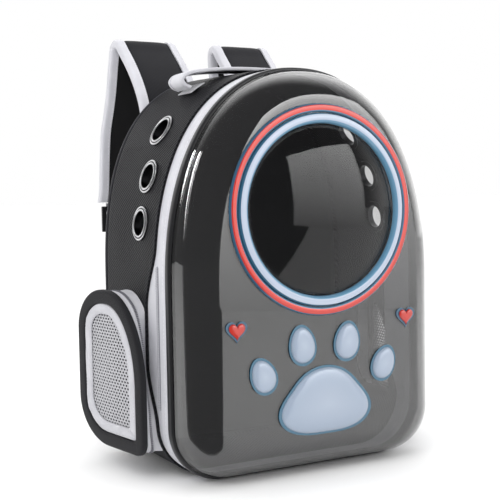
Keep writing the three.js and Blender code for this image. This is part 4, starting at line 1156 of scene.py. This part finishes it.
def make_lock(sign, word, end):
    """Ladder lock below the strap's end, held by a folded tab, with the webbing round its lower bar."""
    bevelled(f"lock_{word}", f"ladder_lock_{word}", 0.9, LOCK_PLASTIC)
    low, high = node_box(f"ladder_lock_{word}")
    clear = GAP + WEBBING_THICKNESS / 2
    off = (high[1] - low[1]) / 2 + clear
    bar_low, bar_top = high[2] - LOCK_BAR, low[2] + LOCK_BAR
    turn = np.linspace(0, np.pi, 24)

    def loop(z, way):
        y = end[1] + off * np.cos(turn)
        return np.stack([0 * turn + end[0], y, z + way * 2 * clear * np.sin(turn)], -1)

    leg_top = end[2] - TAB_LEG_GAP
    tab = np.vstack([(end[0], end[1] + off, leg_top), loop(bar_low, -1), (end[0], end[1] - off, leg_top)])
    webbing(f"lock_tab_{word}", even_steps(tab, 60), f"strap_tab_{word}")
    upper = np.vstack([(end[0], end[1] + off, bar_top - WEBBING_TAIL), loop(bar_top, 1)])
    anchor = np.array([sign * ANCHOR_OUT, BACK_Y + GAP + WEBBING_THICKNESS / 2, ANCHOR_HEIGHT])
    run = mix(upper[-1], anchor, np.array([0.04, 0.35, 0.7, 0.96])[:, None])
    route = np.vstack([upper, run, anchor, anchor - (0, 0, ANCHOR_LENGTH)])
    webbing(f"webbing_{word}", through(route, 200), f"strap_webbing_{word}")


# Handle

# Half of the handle's route, from the middle out: shares of its half span and of its drop
HANDLE_ROUTE = np.array([
    (0, 0), (0.25, 0.005), (0.5, 0.05), (0.72, 0.14), (0.88, 0.25),
    (0.97, 0.4), (1, 0.6), (0.965, 0.8), (0.9, 0.9),
])


def make_handle():
    """Flat handle that lies on the crown and curls under at its ends, with bound edges and sewn tabs."""
    rear = HANDLE_WIDTH / 2
    crown = skin_height(rear, 0) + GAP + HANDLE_THICKNESS / 2
    out, drop = HANDLE_ROUTE.T
    half = np.stack([out * HANDLE_SPAN / 2, 0 * out, crown - drop * HANDLE_DROP], -1)
    path = through(np.vstack([half[:0:-1] * (-1, 1, 1), half]), 140)
    wide, thick = oval_section(30, 0.3)
    core = rear - HANDLE_BINDING + 0.6
    points = sweep(path, (0, 1, 0), np.stack([core * wide, 1.75 * thick], -1))
    white = np.repeat((np.abs(path[:, 0]) > HANDLE_WHITE_FROM)[:, None], len(wide), 1)
    marks = {"white": white}
    surface("handle_band", points, HANDLE_SKIN, "strap_fabric", ["top_handle"], marks=marks, **TUBE)
    arc = np.radians(np.linspace(90, -90, 13))
    for word, edge in (("front", -1), ("back", 1)):
        out = edge * (rear - HANDLE_BINDING + HANDLE_BINDING * np.abs(np.cos(arc)) ** 0.5)
        fold = sweep(path, (0, 1, 0), np.stack([out, 2.05 * power(np.sin(arc), 0.4)], -1))
        surface(f"handle_edge_{word}", fold, WHITE_TAPE, "white_tape", [f"handle_binding_{word}"], **TUBE)
    share = np.linspace(0, 1, 20)
    for sign, word in SIDES:
        x = HANDLE_SPAN / 2 - TAB_UNDER - TAB_LENGTH * (1 - share)
        line = np.stack([sign * x, 0 * x, skin_height(rear, x) + 2 * GAP + TAB_THICKNESS / 2], -1)
        edge = np.stack([rear * wide, TAB_THICKNESS / 2 * thick], -1)
        patch = sweep(line, (0, 1, 0), edge)
        surface(f"handle_patch_{word}", patch, WHITE_CLOTH, "white_tape", [f"handle_tab_{word}"], **TUBE)


# Back pad

PAD_PANEL = (196, 280)
PAD_PANEL_LOW, PAD_PANEL_RADIUS, PAD_PANEL_DEPTH = 40, 42, 7.5
PAD_SHRINK, PAD_VOXEL, PAD_MOST, PAD_PRESSURE = 3, 4.5, 6, 4.0
CHANNEL_OUT, CHANNEL_DEPTH, CHANNEL_WIDTH, BORDER = 34, 3.2, 4.5, 11


def panel_loop(inset, count):
    """Rounded rectangle in x and z round the panel's middle, at even steps."""
    half = np.array(PAD_PANEL) / 2 - inset
    radius = PAD_PANEL_RADIUS - inset
    arc = np.radians(np.arange(0, 90.1, 5))
    corners = []
    for sign_x, sign_z, start in ((1, 1, 0), (-1, 1, 90), (-1, -1, 180), (1, -1, 270)):
        angle = np.radians(start) + arc
        corners.append(np.stack([sign_x * (half[0] - radius) + radius * np.cos(angle), 0 * arc,
                                 sign_z * (half[1] - radius) + radius * np.sin(angle)], -1))
    loop = np.concatenate(corners + [corners[0][:1]])
    return even_steps(loop, count + 1)[:-1]


def edge_distance(x, z):
    """Distance in from the panel's edge: the radius less the length of what lies past a corner's middle."""
    half = np.array(PAD_PANEL) / 2
    past_x = np.abs(x) - (half[0] - PAD_PANEL_RADIUS)
    past_z = np.abs(z) - (half[1] - PAD_PANEL_RADIUS)
    outside = np.hypot(past_x.clip(0), past_z.clip(0)) + np.minimum(np.maximum(past_x, past_z), 0)
    return PAD_PANEL_RADIUS - outside


def make_back_pad():
    """Foam panel in spacer mesh: a flat form is blown up as cloth, then its seams are pressed in.

    A seam lowers the face by its depth times a bell curve of the distance to it.
    """
    middle_z = PAD_PANEL_LOW + PAD_PANEL[1] / 2
    seat = BACK_Y + GAP
    rows = [panel_loop(inset, 150) + (0, seat + y, middle_z) for inset, y in
            ((PAD_SHRINK, 0), (PAD_SHRINK, PAD_PANEL_DEPTH * 0.6), (PAD_SHRINK + 3, PAD_PANEL_DEPTH))]
    face_middle = np.array([0, seat + PAD_PANEL_DEPTH, middle_z])
    rows += [mix(rows[-1], face_middle, s) for s in np.linspace(0, 0.95, 12)[1:]]
    base = mix(rows[0], np.array([0, seat, middle_z]), np.linspace(0.95, 0, 8)[:-1, None, None])
    points = np.concatenate([base, np.array(rows)])
    pad = surface("back_cushion", points, BACK_MESH, "pad_fabric", ["back_pad"], **TUBE)
    blow_up(pad)
    press_seams(pad, seat, middle_z)
    border = panel_loop(BORDER, 300) + (0, 0, middle_z)
    z = np.linspace(PAD_PANEL_LOW + 26, PAD_PANEL_LOW + 254, 80)
    lines = [border] + [np.stack([0 * z + x, 0 * z, z], -1) for x in (-CHANNEL_OUT, CHANNEL_OUT)]
    co = read_points(pad)
    found = []
    for line in lines:
        # Each seam point takes the height of the nearest point of the face, and the run is then smoothed
        near = np.linalg.norm(line[:, None, ::2] - co[None, :, ::2], axis=-1)
        nearest = (near + 1000 * (co[None, :, 1] < seat + 1)).argmin(1)
        line = line + (0, 1, 0) * co[nearest, 1][:, None]
        line[:, 1] = np.convolve(np.pad(line[:, 1], 4, mode="edge"), np.ones(9) / 9, mode="valid") + 0.15
        found.append((line, (0, 1, 0)))
    stitches("back_stitches", found, DARK_THREAD, "pad_fabric", **PAD_STITCH)


def read_points(obj):
    co = np.empty(len(obj.data.vertices) * 3)
    obj.data.vertices.foreach_get("co", co)
    return co.reshape(-1, 3) / MM


def blow_up(obj):
    """Remeshes a closed form, blows it up as cloth for 20 frames and caps how far each point moved."""
    scene = bpy.context.scene
    bpy.context.view_layer.objects.active = obj
    obj.select_set(True)
    remesh = obj.modifiers.new("even", "REMESH")
    remesh.mode = "VOXEL"
    remesh.voxel_size = PAD_VOXEL * MM
    remesh.use_smooth_shade = True
    bpy.ops.object.modifier_apply(modifier="even")
    before = read_points(obj)
    cloth = obj.modifiers.new("cloth", "CLOTH")
    cloth.settings.use_pressure = True
    cloth.settings.uniform_pressure_force = PAD_PRESSURE
    cloth.settings.effector_weights.gravity = 0
    cloth.settings.quality = 4
    for number in range(1, 21):
        scene.frame_set(number)
    bpy.ops.object.modifier_apply(modifier="cloth")
    scene.frame_set(1)
    moved = read_points(obj) - before
    far = np.linalg.norm(moved, axis=1, keepdims=True)
    moved = moved * np.minimum(1, PAD_MOST / np.maximum(far, 1e-9))
    obj.data.vertices.foreach_set("co", ((before + moved) * MM).ravel())
    rounder = obj.modifiers.new("smooth", "SUBSURF")
    rounder.levels = rounder.render_levels = 1
    bpy.ops.object.modifier_apply(modifier="smooth")
    obj.data.polygons.foreach_set("use_smooth", np.ones(len(obj.data.polygons), bool))


def press_seams(obj, seat, middle_z):
    """Presses the border and the two channels into the face where it is thick enough."""
    co = read_points(obj)
    inward = edge_distance(co[:, 0], co[:, 2] - middle_z)
    channels = np.abs(np.abs(co[:, 0]) - CHANNEL_OUT) + 100 * (inward < BORDER)
    lines = np.minimum(np.abs(inward - BORDER), channels)
    thick = co[:, 1] - seat
    press = CHANNEL_DEPTH * np.exp(-((lines / CHANNEL_WIDTH) ** 2))
    co[:, 1] = seat + np.maximum(0, thick - press * (thick > 2) * smooth(2, 5, thick))
    obj.data.vertices.foreach_set("co", (co * MM).ravel())
    obj.data.update()


# Studio: floor, soft lights, reflection cards, camera

CAMERA_AT, CAMERA_AIM = (-0.53525, -0.96488, 0.28221), (-0.0535, -0.0775, 0.2248)
CAMERA_LENS, CAMERA_ROLL = 72.9, -1.01
# Lamps: name, place, side of the square in metres, watts
LAMPS = (
    ("key", (-1.5, -1.6, 2.0), 1.4, 22),
    ("fill", (1.9, -1.2, 1.5), 1.8, 6),
    ("top", (0.2, 0.2, 2.4), 1.2, 10),
)
LAMP_AIM = (0, 0, 0.2)
# A point of the clear front's left rounded edge, and one on the floor where its dark flag begins
FILLET, FLAG_CORNER = np.array((-0.13, -0.11, 0.28)), np.array((-0.14, -0.14, 0.002))
FLAG_LENGTH, FLAG_WIDTH, FLAG_TURN, STRIP_LIGHT_OUT = 42, 218, -47, 1.2
FLOOR_REACH = 30
SHINY_TURN, SHINY_RANGE, SHINY_GLOW, SOFT_GLOW = 0.9, (0.1, 1.0), (0.18, 2.0), 1.04


def look(obj, where, aim):
    """Moves a camera or lamp to its place and turns it to its aim."""
    obj.location = where
    obj.rotation_euler = (Vector(aim) - Vector(where)).to_track_quat("-Z", "Y").to_euler()


def make_camera():
    data = bpy.data.cameras.new("camera")
    data.lens = CAMERA_LENS
    data.sensor_width = 36
    data.clip_start = 0.01
    camera = in_scene("camera", data)
    look(camera, CAMERA_AT, CAMERA_AIM)
    camera.rotation_euler.rotate_axis("Z", np.radians(CAMERA_ROLL))
    bpy.context.scene.camera = camera


def area_light(name, where, side, power):
    data = bpy.data.lights.new(name, "AREA")
    data.shape = "RECTANGLE"
    data.size = data.size_y = side
    data.energy = power
    lamp = in_scene(name, data)
    lamp.visible_glossy = False
    look(lamp, where, LAMP_AIM)


def board(name, corners, material):
    """Flat sheet between four corners that belongs to the studio and not to the part."""
    mesh = bpy.data.meshes.new(name)
    mesh.from_pydata([tuple(corner) for corner in corners], [], [(0, 1, 2, 3)])
    mesh.uv_layers.new(name="UVMap").data.foreach_set("uv", [0, 0, 1, 0, 1, 1, 0, 1])
    mesh.materials.append(material)
    obj = in_scene(name, mesh)
    obj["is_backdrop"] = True
    return obj


def card(name, foot, head, widths, aim, low, high):
    """Flat card that only shiny surfaces see: its glow runs from low at the foot to high at the head.

    It stands from foot to head, as wide there as the two widths say, and faces aim.
    """
    foot, head, aim = (np.array(spot, float) for spot in (foot, head, aim))
    across = unit(np.cross(head - foot, aim - (foot + head) / 2))
    reach = across * widths[0] / 2, across * widths[1] / 2
    corners = [foot - reach[0], foot + reach[0], head + reach[1], head - reach[1]]
    material = bpy.data.materials.new(name)
    material.use_nodes = True
    tree = material.node_tree
    tree.nodes.clear()
    height = add(tree, "ShaderNodeSeparateXYZ", {0: whereabouts(tree, "UV")}).outputs["Y"]
    glow = spread(tree, height, target=(low, high))
    light = add(tree, "ShaderNodeEmission", {"Strength": glow}).outputs[0]
    add(tree, "ShaderNodeOutputMaterial", {"Surface": light})
    obj = board(name, corners, material)
    obj.visible_camera = False
    obj.visible_diffuse = False
    obj.visible_transmission = False
    obj.visible_shadow = False


def make_floor():
    """Pale floor: white board, plain and matt."""
    material, _ = finish("white_board", Roughness=0.9, Specular_IOR_Level=0.1, Base_Color=linear("#ffffff"))
    corners = [(x * FLOOR_REACH, y * FLOOR_REACH, 0) for x, y in ((-1, -1), (1, -1), (1, 1), (-1, 1))]
    board("floor", corners, material)


def make_world():
    """White studio: white to the eye, nearly so as light, and dark for reflections from the front left.

    A reflection's strength grows with its way's Y plus 0.9 times its X.
    """
    world = bpy.data.worlds.new("studio")
    bpy.context.scene.world = world
    world.use_nodes = True
    tree = world.node_tree
    tree.nodes.clear()
    way = add(tree, "ShaderNodeSeparateXYZ", {0: whereabouts(tree, "Generated")})
    side = maths(tree, "MULTIPLY_ADD", way.outputs["X"], SHINY_TURN, way.outputs["Y"])
    shiny = spread(tree, side, SHINY_RANGE, SHINY_GLOW, "SMOOTHSTEP")
    ray = add(tree, "ShaderNodeLightPath").outputs
    soft = add(tree, "ShaderNodeMix", {0: ray["Is Glossy Ray"], 2: SOFT_GLOW, 3: shiny}).outputs[0]
    seen = add(tree, "ShaderNodeMix", {0: ray["Is Camera Ray"], 2: soft, 3: 1.0}).outputs[0]
    light = add(tree, "ShaderNodeBackground", {"Strength": seen, "Color": linear("#ffffff")}).outputs[0]
    add(tree, "ShaderNodeOutputWorld", {"Surface": light})


def toward(turn, rise):
    """Direction turned in degrees from -Y towards +X, and raised in degrees."""
    turn, rise = np.radians(turn), np.radians(rise)
    return np.array([np.sin(turn) * np.cos(rise), -np.cos(turn) * np.cos(rise), np.sin(rise)])


def make_studio():
    """Three soft lamps, and three cards: a softbox, a dark flag on the floor and a strip of light."""
    make_camera()
    make_floor()
    make_world()
    for name, where, side, power in LAMPS:
        area_light(name, where, side, power)
    card("softbox", (0.77, -1.32, 0), (0.77, -1.32, 1.2), (1.39, 1.39), (0.19, -0.27, 0.6), 1.3, 5.0)
    flag_end = FLAG_CORNER + FLAG_LENGTH * toward(FLAG_TURN, 0)
    above = (FLAG_CORNER + flag_end) / 2 + (0, 0, 1)
    card("floor_flag", FLAG_CORNER, flag_end, (0.02, FLAG_WIDTH), above, 0.2, 0.2)
    foot, head = (FILLET + STRIP_LIGHT_OUT * toward(turn, rise) for turn, rise in ((-116, 4), (-139, 33)))
    card("strip_light", foot, head, (0.02, 0.1), FILLET, 2, 22)
    bpy.context.scene.view_settings.view_transform = "Standard"


make_studio()
make_case()
make_back_panel()
make_piping()
make_zip()
bevelled("slider", "zip_slider", 0.5, NICKEL)
make_strip()
make_shell()
make_window()
make_rings()
make_paw()
make_eyelets()
for sign, word in SIDES:
    make_pocket(sign, word)
    make_strap(sign, word)
make_handle()
make_back_pad()

low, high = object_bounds()
{"cad": [list(cad_low), list(cad_high)], "visual": [list(low), list(high)]}
